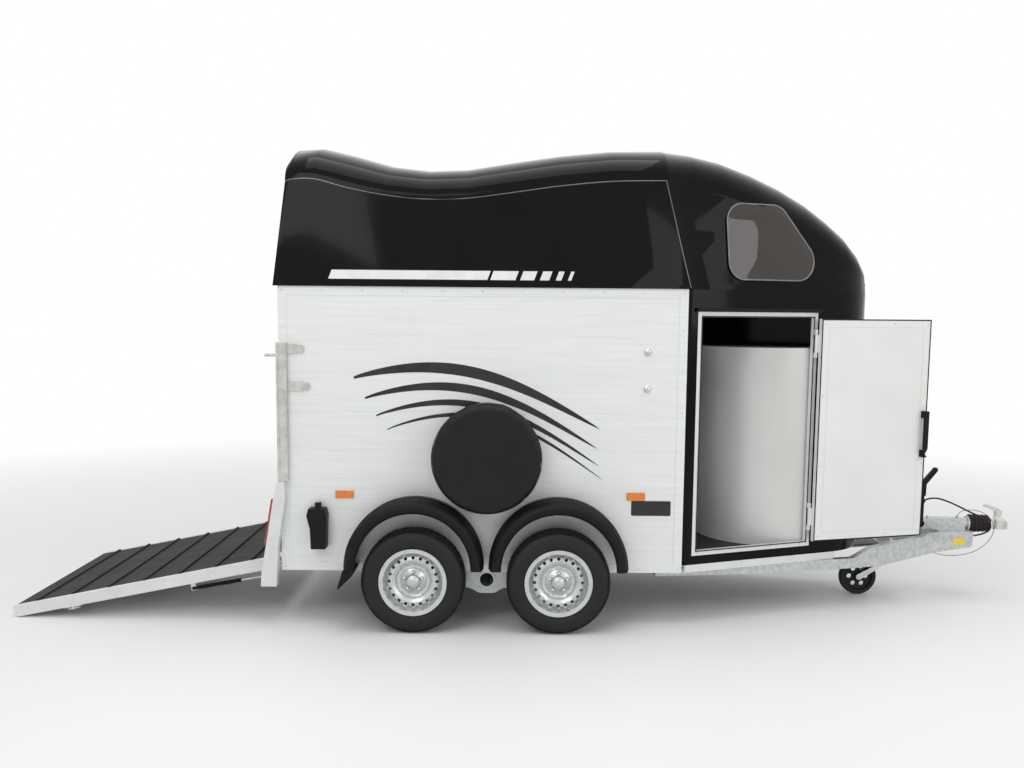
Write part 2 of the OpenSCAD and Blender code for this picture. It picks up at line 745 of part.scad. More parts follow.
spare_r = 290;
spare_z = 940;
spare_t = 160;
module spare_wheel() {
    color("dimgray") {
        translate([axle_mid_x, -half_w - 20, spare_z])
            rotate([90, 0, 0])
                rotate_extrude()
                    polygon(concat([[0, 0], [spare_r - 30, 0]], arc_points([spare_r - 24, 24], 24, -90, 0, 4),
                                   arc_points([spare_r - 34, spare_t - 34], 34, 0, 90, 6), [[0, spare_t]]));
        across(axle_mid_x, spare_z, 60, -half_w - 21, -half_w);
    }
}

module wheel_chock() {
    x = body_rear_x + 150;
    color("black") {
        in_side_plane(-half_w - 78, -half_w)
            polygon([[x + 2, 612], [x + 12, 650], [x + 102, 650], [x + 112, 612], [x + 104, 428], [x + 24, 428],
                     [x + 20, 540]]);
        translate([x + 44, -half_w - 50, 649]) cube([32, 30, 30]);
    }
}

module side_markers() {
    color("orange")
        both_sides()
            for (x = [body_rear_x + 300, body_front_x - 310])
                block([x, -half_w - 11, 700], [x + 100, -half_w, 743]);
}

// Coupling

tube_z = 450;
module coupling_head() {
    color("silver") {
        difference() {
            union() {
                // Body of the head, over the ball
                translate([ball_x, 0, ball_z - 14]) cylinder(r = ball_r + 20, h = 52);
                translate([ball_x, 0, ball_z + 38 - eps]) cylinder(r1 = ball_r + 20, r2 = ball_r + 4, h = 12);
                block([beam_front_x + 8, -24, tube_z - 24], [ball_x, 24, tube_z + 24]);
                translate([ball_x + 12, 0, ball_z - 14]) cylinder(r = ball_r + 16, h = 40);
                along(bellow_x1 - 20, bellow_x1 + 4, 0, tube_z, bellow_bore - seat_gap);
            }
            translate([ball_x, 0, ball_z]) sphere(r = ball_r);
            translate([ball_x, 0, ball_z - 40]) cylinder(r = ball_r, h = 40);
        }
        // Release lever, raised over the head
        block([ball_x - 30, -10, tube_z + 24 - eps], [ball_x + 6, 10, ball_z + 88]);
        in_side_plane(-16, 16)
            polygon([[ball_x + 10, ball_z + 62], [ball_x + 14, ball_z + 92], [ball_x - 12, ball_z + 112],
                     [ball_x - 84, ball_z + 136], [ball_x - 96, ball_z + 128], [ball_x - 92, ball_z + 118],
                     [ball_x - 26, ball_z + 90], [ball_x - 22, ball_z + 60]]);
    }
}

// Housing of the overrun brake, with the holder that the cable's plug is parked in
module overrun_housing() {
    color("darkgray") {
        difference() {
            union() {
                block([beam_front_x - 320, -40, beam_top], [beam_front_x - 20, 40, tube_z + 32]);
                block([beam_front_x - 318, -10, tube_z + 31], [beam_front_x - 300, 10, 560]);
                translate([park_x, 0, park_z]) rotate([0, 66, 0]) cylinder(r = 28, h = 34);
            }
            translate([park_x, 0, park_z]) rotate([0, 66, 0]) translate([0, 0, 8]) cylinder(r = 22.5, h = 60);
        }
        along(beam_front_x - 20 - eps, beam_front_x + 8, 0, tube_z, 33);
        along(beam_front_x - 2, beam_front_x + 8, 0, tube_z, 45);
        // Grease points
        for (x = [beam_front_x - 240, beam_front_x - 60])
            translate([x, 0, tube_z + 31]) cylinder(r = 6, h = 14);
    }
}
park_x = beam_front_x - 324;
park_z = 562;

bellow_x0 = beam_front_x + 8;
bellow_x1 = ball_x - 62;
bellow_bore = 38;
module bellows() {
    ribs = 5;
    step = (bellow_x1 - bellow_x0) / ribs;
    rib = 56;
    waist = 46;
    color("black")
        translate([bellow_x0, 0, tube_z])
            rotate([0, 90, 0])
                rotate_extrude()
                    polygon(concat(
                        [[bellow_bore, 0]],
                        [for (i = [0 : ribs - 1]) each [[waist, i * step], [rib - i, (i + 0.35) * step],
                                                         [rib - i, (i + 0.65) * step]]],
                        [[waist - 4, ribs * step], [bellow_bore, ribs * step]]));
}

module handbrake() {
    x = beam_front_x - 300;
    color("black") {
        translate([x, -58, 455]) rotate([-90, 0, 0]) cylinder(r = 22, h = 18);
        in_side_plane(-56, -48)
            polygon([[x - 14, 470], [x + 14, 470], [x + 14, 640], [x - 8, 640]]);
        in_side_plane(-66, -38)
            polygon([[x - 12, 628], [x + 18, 628], [x + 20, 700], [x + 84, 782], [x + 82, 800], [x + 66, 802],
                     [x - 8, 712]]);
    }
}

// Jockey wheel: a column clamped to the drawbar, a leg that winds up, a castor fork and a wheel

column_z0 = jockey_plate_z - 20;
column_z1 = 700;
leg_r = 22;
module jockey_column() {
    color("silver") {
        difference() {
            translate([jockey_x, 0, column_z0]) cylinder(r = column_r, h = column_z1 - column_z0);
            translate([jockey_x, 0, column_z0 - 1]) cylinder(r = leg_r + 0.5, h = column_z1 - column_z0 - 30);
        }
        // Clamp on the drawbar's plate
        difference() {
            block([jockey_x - 38, -40, jockey_plate_z + 10], [jockey_x + 38, 40, jockey_plate_z + 70]);
            translate([jockey_x, 0, jockey_plate_z]) cylinder(r = column_r, h = 80);
        }
        // Winding handle
        translate([jockey_x, 0, column_z1 - eps]) cylinder(r = 12, h = 40);
        block([jockey_x - 10, -10, column_z1 + 28], [jockey_x + 120, 10, column_z1 + 40]);
        translate([jockey_x + 108, 0, column_z1 + 38]) cylinder(r = 14, h = 70);
    }
}
leg_z0 = 205;
swivel_r = 10;
module jockey_leg() {
    color("silver")
        difference() {
            translate([jockey_x, 0, leg_z0]) cylinder(r = leg_r, h = 320);
            translate([jockey_x, 0, leg_z0 - 1]) cylinder(r = swivel_r + 0.5, h = 42);
        }
}
wheel_half = 24;
fork_top = leg_z0 - 8;
module jockey_fork() {
    x1 = jockey_x - jockey_trail;
    color("silver") {
        translate([jockey_x, 0, fork_top]) cylinder(r = 30, h = 7);
        translate([jockey_x, 0, fork_top]) cylinder(r = swivel_r, h = 44);
        block([jockey_x - 26, -wheel_half - 14, fork_top - 8], [jockey_x + 26, wheel_half + 14, fork_top + eps]);
        for (y = [-wheel_half - 12, wheel_half + 7])
            in_side_plane(y, y + 5)
                polygon(concat([[jockey_x + 24, fork_top], [jockey_x - 22, fork_top]],
                               arc_points([x1, jockey_r], 18, 125, 305, 8)));
        across(x1, jockey_r, 7, -wheel_half - 16, wheel_half + 16);
    }
}
module jockey_wheel() {
    b = wheel_half;
    color("dimgray")
        translate([jockey_x - jockey_trail, 0, jockey_r])
            rotate([90, 0, 0])
                difference() {
                    rotate_extrude()
                        polygon([[8, -b], [20, -b], [20, -8], [jockey_r - 30, -8], [jockey_r - 27, -b + 3],
                                 [jockey_r - 6, -b + 1], [jockey_r, -b + 10], [jockey_r, b - 10],
                                 [jockey_r - 6, b - 1], [jockey_r - 27, b - 3], [jockey_r - 30, 8],
                                 [20, 8], [20, b], [8, b]]);
                    for (i = [0 : 5])
                        rotate([0, 0, i * 60]) translate([52, 0, -10]) cylinder(r = 15, h = 20);
                }
}

// Ramp, drawn in its own plane and then laid down from its hinge. x runs back from the hinge, z is up.

ramp_hinge_x = body_rear_x - ramp_hinge_back;
ramp_top = ramp_rail_h - ramp_under;
// Slope at which the tip's lower edge meets the ground
ramp_slope = asin(ramp_hinge_z / norm([ramp_len, ramp_under])) - atan2(ramp_under, ramp_len);
ramp_y = ramp_w / 2;
module ramp_lies() {
    translate([ramp_hinge_x, 0, ramp_hinge_z])
        rotate([0, -ramp_slope, 0])
            mirror([1, 0, 0])
                children();
}
deck_t = 24;
deck_z = ramp_top - deck_t - 6;
ramp_end = -2;
// Pins on which the ramp turns, each between two lugs
module ramp_pin(y) {
    across(0, 0, ramp_pin_r, y - 12, y + lug_t + 52);
    block([-4, y + lug_t + 4, -ramp_under], [40, y + 48, deck_z + eps]);
}
module ramp_deck() {
    color("gainsboro")
        ramp_lies() {
            for (y = [-ramp_y, ramp_y - ramp_rail_w])
                block([ramp_end, y, -ramp_under], [ramp_len, y + ramp_rail_w, ramp_top]);
            block([ramp_end, -ramp_y + ramp_rail_w, deck_z],
                  [ramp_len, ramp_y - ramp_rail_w, deck_z + deck_t]);
            block([ramp_len - 40, -ramp_y + ramp_rail_w, -ramp_under],
                  [ramp_len, ramp_y - ramp_rail_w, deck_z + eps]);
            for (x = [360, 720, 1080])
                block([x, -ramp_y + ramp_rail_w, -ramp_under + 6], [x + 40, ramp_y - ramp_rail_w, deck_z + eps]);
            for (y = [lug_y[0], lug_y[2]]) ramp_pin(y);
            // Eyes that the gas struts turn on
            for (s = [-1, 1])
                block([strut_s - 14, s * strut_y - 4, strut_n - 12], [strut_s + 14, s * strut_y + 4, -ramp_under + eps]);
        }
}
module ramp_mat() {
    color([0.25, 0.2, 0.2])
        ramp_lies() {
            block([ramp_end + 4, -ramp_y + ramp_rail_w + 1, deck_z + deck_t],
                  [ramp_len - 3, ramp_y - ramp_rail_w - 1, ramp_top - 2]);
            for (x = [batten_step / 2 : batten_step : ramp_len - 60])
                block([x, -ramp_y + ramp_rail_w + 6, ramp_top - 2 - eps],
                      [x + 14, ramp_y - ramp_rail_w - 6, ramp_top + 8]);
        }
}
// Over-centre latches that meet the posts' pins when the ramp is shut
latch_s = latch_z - ramp_hinge_z;
module ramp_latches() {
    color("silver")
        ramp_lies()
            for (s = [-1, 1]) {
                block([latch_s - 90, s * (ramp_y - 20) - 16, -ramp_under - 5],
                      [latch_s + 10, s * (ramp_y - 20) + 16, -ramp_under]);
                translate([latch_s - 40, s * (ramp_y - 20), -ramp_under - 12])
                    rotate([90, 0, 0]) cylinder(r = 8, h = 24, center = true);
                block([latch_s - 74, s * (ramp_y - 20) - 5, -ramp_under - 18],
                      [latch_s - 8, s * (ramp_y - 20) + 5, -ramp_under - 12]);
            }
}

// Gas struts under the ramp. The tube turns on the ramp, and the rod's end faces a stud on the lamp carrier.

strut_s = 455;
strut_n = -40;
strut_y = ramp_w / 2 - 22;
strut_eye_w = 14;
strut_pin = [ramp_hinge_x - 20, ramp_hinge_z - 53];
strut_foot = [ramp_hinge_x - strut_s * cos(ramp_slope) - strut_n * sin(ramp_slope),
              ramp_hinge_z - strut_s * sin(ramp_slope) + strut_n * cos(ramp_slope)];
strut_run = strut_pin - strut_foot;
strut_len = norm(strut_run);
strut_angle = atan2(strut_run[1], strut_run[0]);
strut_tube_r = 11;
strut_rod_r = 5;
strut_tube_len = 270;
module on_strut(side) {
    translate([strut_foot[0], side * strut_y, strut_foot[1]])
        rotate([0, -strut_angle, 0])
            children();
}
module strut_tube(side) {
    color("black")
        on_strut(side)
            difference() {
                union() {
                    along(24, strut_tube_len, 0, 0, strut_tube_r);
                    for (y = [-9, 5]) in_side_plane(y, y + 4) polygon([[-8, -8], [-8, 8], [25, 8], [25, -8]]);
                    block([22, -9, -8], [26, 9, 8]);
                }
                along(strut_tube_len - 200, strut_tube_len + 1, 0, 0, strut_rod_r + 0.6);
            }
}
module strut_rod(side) {
    color("silver")
        on_strut(side) {
            along(strut_tube_len - 90, strut_len - 6, 0, 0, strut_rod_r);
            across(strut_len, 0, 10, -strut_eye_w / 2, strut_eye_w / 2);
        }
}

// Cords. Each is a tube swept along its own points, on a curve that passes through them.

power_route = [[2644, 0, 370], [2690, -12, 374], [2735, -38, 392], [2762, -68, 424], [2752, -82, 466],
               [2705, -74, 500], [2645, -50, 528], [2580, -26, 560], [2520, -10, 586], [2465, -2, 602],
               [2420, 0, 602], [2385, 0, 592]];
breakaway_route = [[2585, -6, 490], [2600, -18, 522], [2640, -26, 536], [2690, -40, 536], [2735, -58, 516],
                   [2768, -76, 480], [2778, -86, 436], [2768, -90, 390], [2738, -92, 346], [2692, -94, 310],
                   [2636, -98, 284], [2574, -102, 272], [2512, -108, 270], [2455, -118, 276],
                   [2416, -126, 288], [2402, -130, 302]];
cord_rings = 3;
function spline(p, i, t) =
    let (a = p[max(i - 1, 0)], b = p[i], c = p[i + 1], d = p[min(i + 2, len(p) - 1)])
    0.5 * (2 * b + (c - a) * t + (2 * a - 5 * b + 4 * c - d) * t * t + (3 * b - a - 3 * c + d) * t * t * t);
function route_line(p) = concat(
    [for (i = [0 : len(p) - 2]) each [for (k = [0 : cord_rings - 1]) spline(p, i, k / cord_rings)]],
    [p[len(p) - 1]]);
function unit(v) = v / norm(v);
module cord(route, r, sides) {
    line = route_line(route);
    n = len(line);
    points = [for (i = [0 : n - 1])
        let (t = unit(line[min(i + 1, n - 1)] - line[max(i - 1, 0)]),
             u = unit(cross(t, [0.1, 1, 0.2])), v = cross(t, u))
        each [for (k = [0 : sides - 1]) line[i] + r * (cos(360 * k / sides) * u + sin(360 * k / sides) * v)]];
    faces = concat(
        [[for (k = [0 : sides - 1]) k]],
        [[for (k = [sides - 1 : -1 : 0]) (n - 1) * sides + k]],
        [for (i = [0 : n - 2], k = [0 : sides - 1])
            [i * sides + k, (i + 1) * sides + k, (i + 1) * sides + (k + 1) % sides, i * sides + (k + 1) % sides]]);
    polyhedron(points = points, faces = faces, convexity = 4);
}
module power_cable() {
    color("black") cord(power_route, 5, 8);
}
module cable_plug() {
    color("black")
        translate([park_x, 0, park_z])
            rotate([0, 66, 0]) {
                translate([0, 0, 8 + seat_gap]) cylinder(r = 22, h = 46);
                translate([0, 0, 54]) cylinder(r1 = 18, r2 = 8, h = 16);
            }
}
module breakaway_cable() {
    color("red") cord(breakaway_route, 2, 8);
}
chassis();
drawbar();
axles();
floor();
side_wall_right();
side_wall_left();
nose_shell();
roof_shell();
nose_sills();
door_frame();
windows();
breast_bar();
rear_posts();
lamp_carriers();
tail_lamps();
mudguards();
spare_wheel();
wheel_chock();
side_markers();
coupling_head();
overrun_housing();
bellows();
handbrake();
jockey_column();
power_cable();
cable_plug();
breakaway_cable();
tyre(axle_x[0], -1);  // tyre_front_right
tyre(axle_x[0], 1);  // tyre_front_left
tyre(axle_x[1], -1);  // tyre_rear_right
tyre(axle_x[1], 1);  // tyre_rear_left
rim(axle_x[0], -1);  // rim_front_right
rim(axle_x[0], 1);  // rim_front_left
rim(axle_x[1], -1);  // rim_rear_right
rim(axle_x[1], 1);  // rim_rear_left
ramp_deck();
ramp_mat();
ramp_latches();
strut_tube(-1);  // strut_tube_right
strut_tube(1);  // strut_tube_left
strut_rod(-1);  // strut_rod_right
strut_rod(1);  // strut_rod_left
tack_door();
door_handle();
tack_locker();
jockey_leg();
jockey_fork();
jockey_wheel();
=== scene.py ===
import json
import math

import bmesh
import bpy
from mathutils import Matrix, Vector, noise
from mathutils.bvhtree import BVHTree

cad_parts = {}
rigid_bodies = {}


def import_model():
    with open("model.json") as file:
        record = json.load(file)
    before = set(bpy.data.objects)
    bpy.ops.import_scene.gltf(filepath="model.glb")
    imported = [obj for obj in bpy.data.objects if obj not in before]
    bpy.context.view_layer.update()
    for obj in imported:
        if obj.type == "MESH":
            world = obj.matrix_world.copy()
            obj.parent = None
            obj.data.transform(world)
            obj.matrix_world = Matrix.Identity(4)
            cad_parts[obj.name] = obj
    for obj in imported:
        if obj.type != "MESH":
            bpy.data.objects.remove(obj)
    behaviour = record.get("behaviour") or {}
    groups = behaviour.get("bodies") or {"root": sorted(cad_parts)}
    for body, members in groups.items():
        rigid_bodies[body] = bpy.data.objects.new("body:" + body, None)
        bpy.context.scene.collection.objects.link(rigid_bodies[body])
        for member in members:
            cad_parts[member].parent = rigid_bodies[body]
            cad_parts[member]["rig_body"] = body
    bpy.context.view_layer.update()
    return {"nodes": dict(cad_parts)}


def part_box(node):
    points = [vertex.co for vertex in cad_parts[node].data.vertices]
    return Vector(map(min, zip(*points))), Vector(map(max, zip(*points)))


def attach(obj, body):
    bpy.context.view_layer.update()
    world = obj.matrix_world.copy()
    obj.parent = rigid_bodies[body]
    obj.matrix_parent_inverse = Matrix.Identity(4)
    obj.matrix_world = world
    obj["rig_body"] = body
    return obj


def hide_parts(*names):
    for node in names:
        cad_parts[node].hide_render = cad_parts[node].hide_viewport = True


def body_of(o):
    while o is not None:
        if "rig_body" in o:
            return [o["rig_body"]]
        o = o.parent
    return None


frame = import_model()
nodes = frame["nodes"]
print("trailer: CAD frame loaded,", len(nodes), "nodes")

# Camera: the photo's long lens, a little above the middle and looking slightly down
cameraSetup = {
    "place": (-0.155, -6.332, 1.721),
    "pitchDown": 0.1159,
    "yaw": 0.0011,
    "roll": 0.0086,
    "lens": 36.63,
    "shiftY": 0.048,
}


def makeCamera(c):
    data = bpy.data.cameras.new("photoCamera")
    data.sensor_width = 36
    data.lens = c["lens"]
    data.shift_y = c["shiftY"]
    camera = bpy.data.objects.new("photoCamera", data)
    bpy.context.scene.collection.objects.link(camera)
    turn = (Matrix.Rotation(c["yaw"], 4, "Z") @ Matrix.Rotation(math.pi / 2 - c["pitchDown"], 4, "X")
            @ Matrix.Rotation(c["roll"], 4, "Z"))
    camera.matrix_world = Matrix.Translation(c["place"]) @ turn
    bpy.context.scene.camera = camera
    return camera


makeCamera(cameraSetup)


# Small helpers for node materials
def newMaterial(name):
    material = bpy.data.materials.new(name)
    material.use_nodes = True
    tree = material.node_tree
    shader = tree.nodes["Principled BSDF"]
    return material, tree, shader


def addNode(tree, kind, **values):
    node = tree.nodes.new(kind)
    for key, value in values.items():
        if key in node.inputs:
            node.inputs[key].default_value = value
        else:
            setattr(node, key, value)
    return node


def objectCoords(tree, scale=(1, 1, 1)):
    coords = tree.nodes.new("ShaderNodeTexCoord")
    mapping = tree.nodes.new("ShaderNodeMapping")
    mapping.inputs["Scale"].default_value = scale
    tree.links.new(coords.outputs["Object"], mapping.inputs["Vector"])
    return mapping.outputs["Vector"]


def noiseTexture(tree, vector, scale, detail=4.0, rough=0.5):
    noise = tree.nodes.new("ShaderNodeTexNoise")
    noise.inputs["Scale"].default_value = scale
    noise.inputs["Detail"].default_value = detail
    noise.inputs["Roughness"].default_value = rough
    tree.links.new(vector, noise.inputs["Vector"])
    return noise.outputs["Fac"]


def ramp(tree, factor, stops):
    node = tree.nodes.new("ShaderNodeValToRGB")
    band = node.color_ramp
    while len(band.elements) < len(stops):
        band.elements.new(0.5)
    for element, (place, colour) in zip(band.elements, stops):
        element.position = place
        element.color = (*colour, 1) if len(colour) == 3 else colour
    tree.links.new(factor, node.inputs["Fac"])
    return node.outputs["Color"]


def levels(tree, factor, low, high, fromLow=0.3, fromHigh=0.7):
    node = tree.nodes.new("ShaderNodeMapRange")
    node.inputs["From Min"].default_value = fromLow
    node.inputs["From Max"].default_value = fromHigh
    node.inputs["To Min"].default_value = low
    node.inputs["To Max"].default_value = high
    tree.links.new(factor, node.inputs["Value"])
    return node.outputs["Result"]


def addBump(tree, shader, height, strength, distance):
    bump = tree.nodes.new("ShaderNodeBump")
    bump.inputs["Strength"].default_value = strength
    bump.inputs["Distance"].default_value = distance
    tree.links.new(height, bump.inputs["Height"])
    tree.links.new(bump.outputs["Normal"], shader.inputs["Normal"])
    return bump


def surface(name, dark, light, rough, metallic=0.0, grainScale=30.0, stretch=(1, 1, 1), bump=0.1,
            bumpSize=0.0005, coat=0.0, coatRough=0.05, bumpScale=400.0, detail=4.0, specular=0.5):
    material, tree, shader = newMaterial(name)
    vector = objectCoords(tree, stretch)
    cloud = noiseTexture(tree, vector, grainScale, detail)
    tree.links.new(ramp(tree, cloud, [(0.3, dark), (0.7, light)]), shader.inputs["Base Color"])
    tree.links.new(levels(tree, cloud, rough[0], rough[1]), shader.inputs["Roughness"])
    shader.inputs["Metallic"].default_value = metallic
    shader.inputs["Specular IOR Level"].default_value = specular
    if coat:
        shader.inputs["Coat Weight"].default_value = coat
        shader.inputs["Coat Roughness"].default_value = coatRough
    if bump:
        fine = noiseTexture(tree, vector, bumpScale, 3.0)
        addBump(tree, shader, fine, bump, bumpSize)
    return material


finishes = {
    "glossBlack": surface("glossBlack", (0.003, 0.003, 0.004), (0.005, 0.005, 0.006), (0.06, 0.1), specular=0.09,
                          coat=0.04, coatRough=0.02, grainScale=3.0, bump=0.04, bumpScale=120, bumpSize=0.0006),
    "wallSilver": surface("wallSilver", (0.77, 0.79, 0.78), (0.83, 0.85, 0.84), (0.34, 0.46), metallic=0.2,
                          grainScale=5.0, stretch=(0.6, 1, 22), bump=0.04, bumpScale=200),
    "trimWhite": surface("trimWhite", (0.70, 0.71, 0.71), (0.76, 0.77, 0.77), (0.25, 0.4), grainScale=8.0, bump=0.03),
    "galvanised": surface("galvanised", (0.42, 0.44, 0.44), (0.62, 0.64, 0.64), (0.32, 0.6), metallic=0.75,
                          grainScale=45.0, bump=0.12, bumpScale=160),
    "zinc": surface("zinc", (0.55, 0.55, 0.52), (0.68, 0.68, 0.65), (0.2, 0.38), metallic=0.85, grainScale=20.0,
                    bump=0.05),
    "mattBlack": surface("mattBlack", (0.004, 0.004, 0.004), (0.008, 0.008, 0.008), (0.45, 0.62), grainScale=20.0,
                         specular=0.18, bump=0.35, bumpScale=900, bumpSize=0.0004),
    "vinyl": surface("vinyl", (0.006, 0.006, 0.006), (0.011, 0.011, 0.011), (0.4, 0.55), grainScale=10.0, specular=0.22,
                     bump=0.3, bumpScale=700, bumpSize=0.0005),
    "rubber": surface("rubber", (0.008, 0.008, 0.008), (0.016, 0.016, 0.016), (0.5, 0.75), grainScale=25.0, specular=0.3,
                      bump=0.2, bumpScale=500, bumpSize=0.0004),
    "rampMat": surface("rampMat", (0.016, 0.014, 0.013), (0.034, 0.031, 0.029), (0.6, 0.85), grainScale=5.0,
                       stretch=(1, 6, 1), specular=0.25, bump=0.5, bumpScale=160, bumpSize=0.001),
    "rimSilver": surface("rimSilver", (0.52, 0.54, 0.54), (0.62, 0.64, 0.64), (0.25, 0.36), metallic=0.6,
                         grainScale=20.0, bump=0.05),
    "doorWhite": surface("doorWhite", (0.78, 0.79, 0.77), (0.83, 0.84, 0.82), (0.3, 0.45), grainScale=3.0, bump=0.04),
    "lockerGrey": surface("lockerGrey", (0.60, 0.61, 0.59), (0.68, 0.69, 0.67), (0.3, 0.45), metallic=0.1,
                          grainScale=4.0, stretch=(1, 1, 0.3), bump=0.05),
    "floorBlack": surface("floorBlack", (0.010, 0.010, 0.010), (0.020, 0.020, 0.020), (0.5, 0.8), grainScale=12.0,
                          bump=0.4, bumpScale=250, bumpSize=0.001),
    "filmWhite": surface("filmWhite", (0.74, 0.74, 0.75), (0.82, 0.82, 0.83), (0.2, 0.32), grainScale=9.0, bump=0.03),
    "filmBlack": surface("filmBlack", (0.010, 0.010, 0.011), (0.016, 0.016, 0.017), (0.22, 0.36), grainScale=9.0,
                         bump=0.04),
    # Crease bead: a lighter, far glossier copy of the hood's black that paints a highlight line along the crease
    "beadHighlightBlack": surface("beadHighlightBlack", (0.012, 0.012, 0.013), (0.02, 0.02, 0.021), (0.05, 0.12), specular=1.0, coat=1.0,
                         coatRough=0.03, grainScale=4.0, bump=0.03),
    # Window seal: its grey is a painted highlight on a seal that is black and glossy
    "sealPaintedHighlightGrey": surface("sealPaintedHighlightGrey", (0.16, 0.16, 0.17), (0.24, 0.24, 0.25), (0.2, 0.35), grainScale=12.0, bump=0.05),
    "labelYellow": surface("labelYellow", (0.74, 0.56, 0.04), (0.82, 0.64, 0.07), (0.3, 0.4), grainScale=20.0,
                           bump=0.03),
    "plateBlack": surface("plateBlack", (0.008, 0.008, 0.009), (0.014, 0.014, 0.015), (0.18, 0.3), grainScale=14.0,
                          bump=0.05),
    "cableRed": surface("cableRed", (0.30, 0.02, 0.02), (0.42, 0.03, 0.03), (0.3, 0.5), grainScale=40.0, bump=0.1),
    "lampAmber": surface("lampAmber", (0.72, 0.17, 0.01), (0.85, 0.24, 0.02), (0.12, 0.22), grainScale=60.0,
                         coat=0.5, bump=0.2, bumpScale=300),
    "lampRed": surface("lampRed", (0.30, 0.01, 0.01), (0.42, 0.02, 0.02), (0.12, 0.22), grainScale=60.0, coat=0.5,
                       bump=0.2, bumpScale=300),
}


def smokedAcrylic():
    material, tree, shader = newMaterial("smokedAcrylic")
    vector = objectCoords(tree)
    haze = noiseTexture(tree, vector, 6.0)
    tree.links.new(ramp(tree, haze, [(0.3, (0.030, 0.022, 0.018)), (0.7, (0.042, 0.031, 0.025))]),
                   shader.inputs["Base Color"])
    shader.inputs["Roughness"].default_value = 0.04
    shader.inputs["Alpha"].default_value = 0.80
    shader.inputs["Coat Weight"].default_value = 0.4
    return material


finishes["smoked"] = smokedAcrylic()
print("trailer: materials ready")

nodeFinish = {
    "floorBlack": ["floor"],
    "glossBlack": ["windows"],
    "rubber": ["spare_wheel"],
}
for finish, names in nodeFinish.items():
    for name in names:
        mesh = nodes[name].data
        mesh.materials.clear()
        mesh.materials.append(finishes[finish])


def bodyOf(name):
    return body_of(nodes[name])[0]


def newObject(name, vertices, faces, finish, rideWith, smooth=True, sharp=40):
    mesh = bpy.data.meshes.new(name)
    mesh.from_pydata([tuple(v) for v in vertices], [], faces)
    return addPiece(name, mesh, finish, rideWith, smooth, sharp)


def addPiece(name, mesh, finish, rideWith, smooth=True, sharp=40):
    mesh.materials.clear()
    mesh.materials.append(finishes[finish])
    if smooth:
        mesh.shade_smooth()
        mesh.set_sharp_from_angle(angle=math.radians(sharp))
    obj = bpy.data.objects.new(name, mesh)
    bpy.context.scene.collection.objects.link(obj)
    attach(obj, bodyOf(rideWith))
    return obj


# A smooth-shaded copy of a CAD node: welded, its flat faces joined, and its edges eased
def finishedCopy(name, finish, ease=0.0012, sharp=35, smooth=True):
    bm = bmesh.new()
    bm.from_mesh(nodes[name].data)
    bmesh.ops.remove_doubles(bm, verts=bm.verts, dist=1e-5)
    bmesh.ops.dissolve_limit(bm, angle_limit=math.radians(0.4), verts=bm.verts, edges=bm.edges)
    mesh = bpy.data.meshes.new(name + "_skin")
    bm.to_mesh(mesh)
    bm.free()
    obj = addPiece(name + "_skin", mesh, finish, name, smooth=smooth, sharp=sharp)
    if ease:
        bevel = obj.modifiers.new("ease", "BEVEL")
        bevel.width = ease
        bevel.segments = 2
        bevel.limit_method = "ANGLE"
        bevel.angle_limit = math.radians(sharp)
        bevel.use_clamp_overlap = True
    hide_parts(name)
    return obj


# Edge radius in metres of each CAD piece that keeps its shape
eased = {
    "glossBlack": (["nose_shell", "strut_tube_right", "strut_tube_left"], 0.0015),
    "wallSilver": (["side_wall_right", "side_wall_left"], 0.0),
    "galvanised": (["chassis", "drawbar", "axles", "overrun_housing"], 0.0012),
    "trimWhite": (["nose_sills", "door_frame", "lamp_carriers", "ramp_deck"], 0.0015),
    "mattBlack": (["wheel_chock", "handbrake", "cable_plug", "door_handle"], 0.002),
    "zinc": (["rear_posts", "coupling_head", "jockey_column", "jockey_leg", "jockey_fork", "ramp_latches",
              "strut_rod_right", "strut_rod_left"], 0.001),
    "lampRed": (["tail_lamps"], 0.002),
    "lampAmber": (["side_markers"], 0.003),
    "rampMat": (["ramp_mat"], 0.0015),
    "doorWhite": (["tack_door"], 0.001),
    "lockerGrey": (["tack_locker"], 0.0015),
    "rubber": (["bellows", "jockey_wheel"], 0.001),
    "rimSilver": (["rim_front_right", "rim_front_left", "rim_rear_right", "rim_rear_left"], 0.0),
}
skins = {}
flatFaced = {"side_wall_right", "side_wall_left", "nose_sills", "door_frame", "tack_door", "ramp_deck", "ramp_mat",
             "rear_posts", "lamp_carriers", "chassis", "side_markers", "tail_lamps"}
for finish, (names, ease) in eased.items():
    for name in names:
        skins[name] = finishedCopy(name, finish, ease, smooth=name not in flatFaced)
hood = finishedCopy("roof_shell", "glossBlack", ease=0.0, sharp=30)
finishedCopy("mudguards", "mattBlack", ease=0.0, sharp=30)

# The moulding's crease on the wide rear part: (x, half width, z), and its front edge down to the lip
crease = {
    "ridge": [(-1.386, 0.654, 2.398), (-1.355, 0.660, 2.416), (-1.225, 0.662, 2.418), (-1.055, 0.660, 2.375),
              (-0.840, 0.658, 2.336), (-0.630, 0.656, 2.318), (-0.415, 0.656, 2.324), (-0.175, 0.658, 2.355),
              (0.095, 0.660, 2.393), (0.365, 0.662, 2.418), (0.650, 0.662, 2.424)],
    "nose": [(0.815, 0.600, 2.395), (0.990, 0.548, 2.350), (1.175, 0.489, 2.280), (1.350, 0.430, 2.200),
             (1.510, 0.374, 2.120)],
    "frontEdge": [(0.694, 0.679, 2.240), (0.741, 0.698, 2.045), (0.788, 0.7145, 1.856)],
    "sink": 0.0028,
    "radius": 0.0040,
}


def sharpenCrease(mesh, c):
    line = [Vector(p) for p in c["ridge"] + c["nose"]]

    def onCrease(p):
        q = Vector((p.x, abs(p.y), p.z))
        return min((q - a).length for a in line) < 0.006

    flags = [onCrease(v.co) for v in mesh.vertices]
    for edge in mesh.edges:
        if flags[edge.vertices[0]] and flags[edge.vertices[1]]:
            edge.use_edge_sharp = True


sharpenCrease(hood.data, crease)

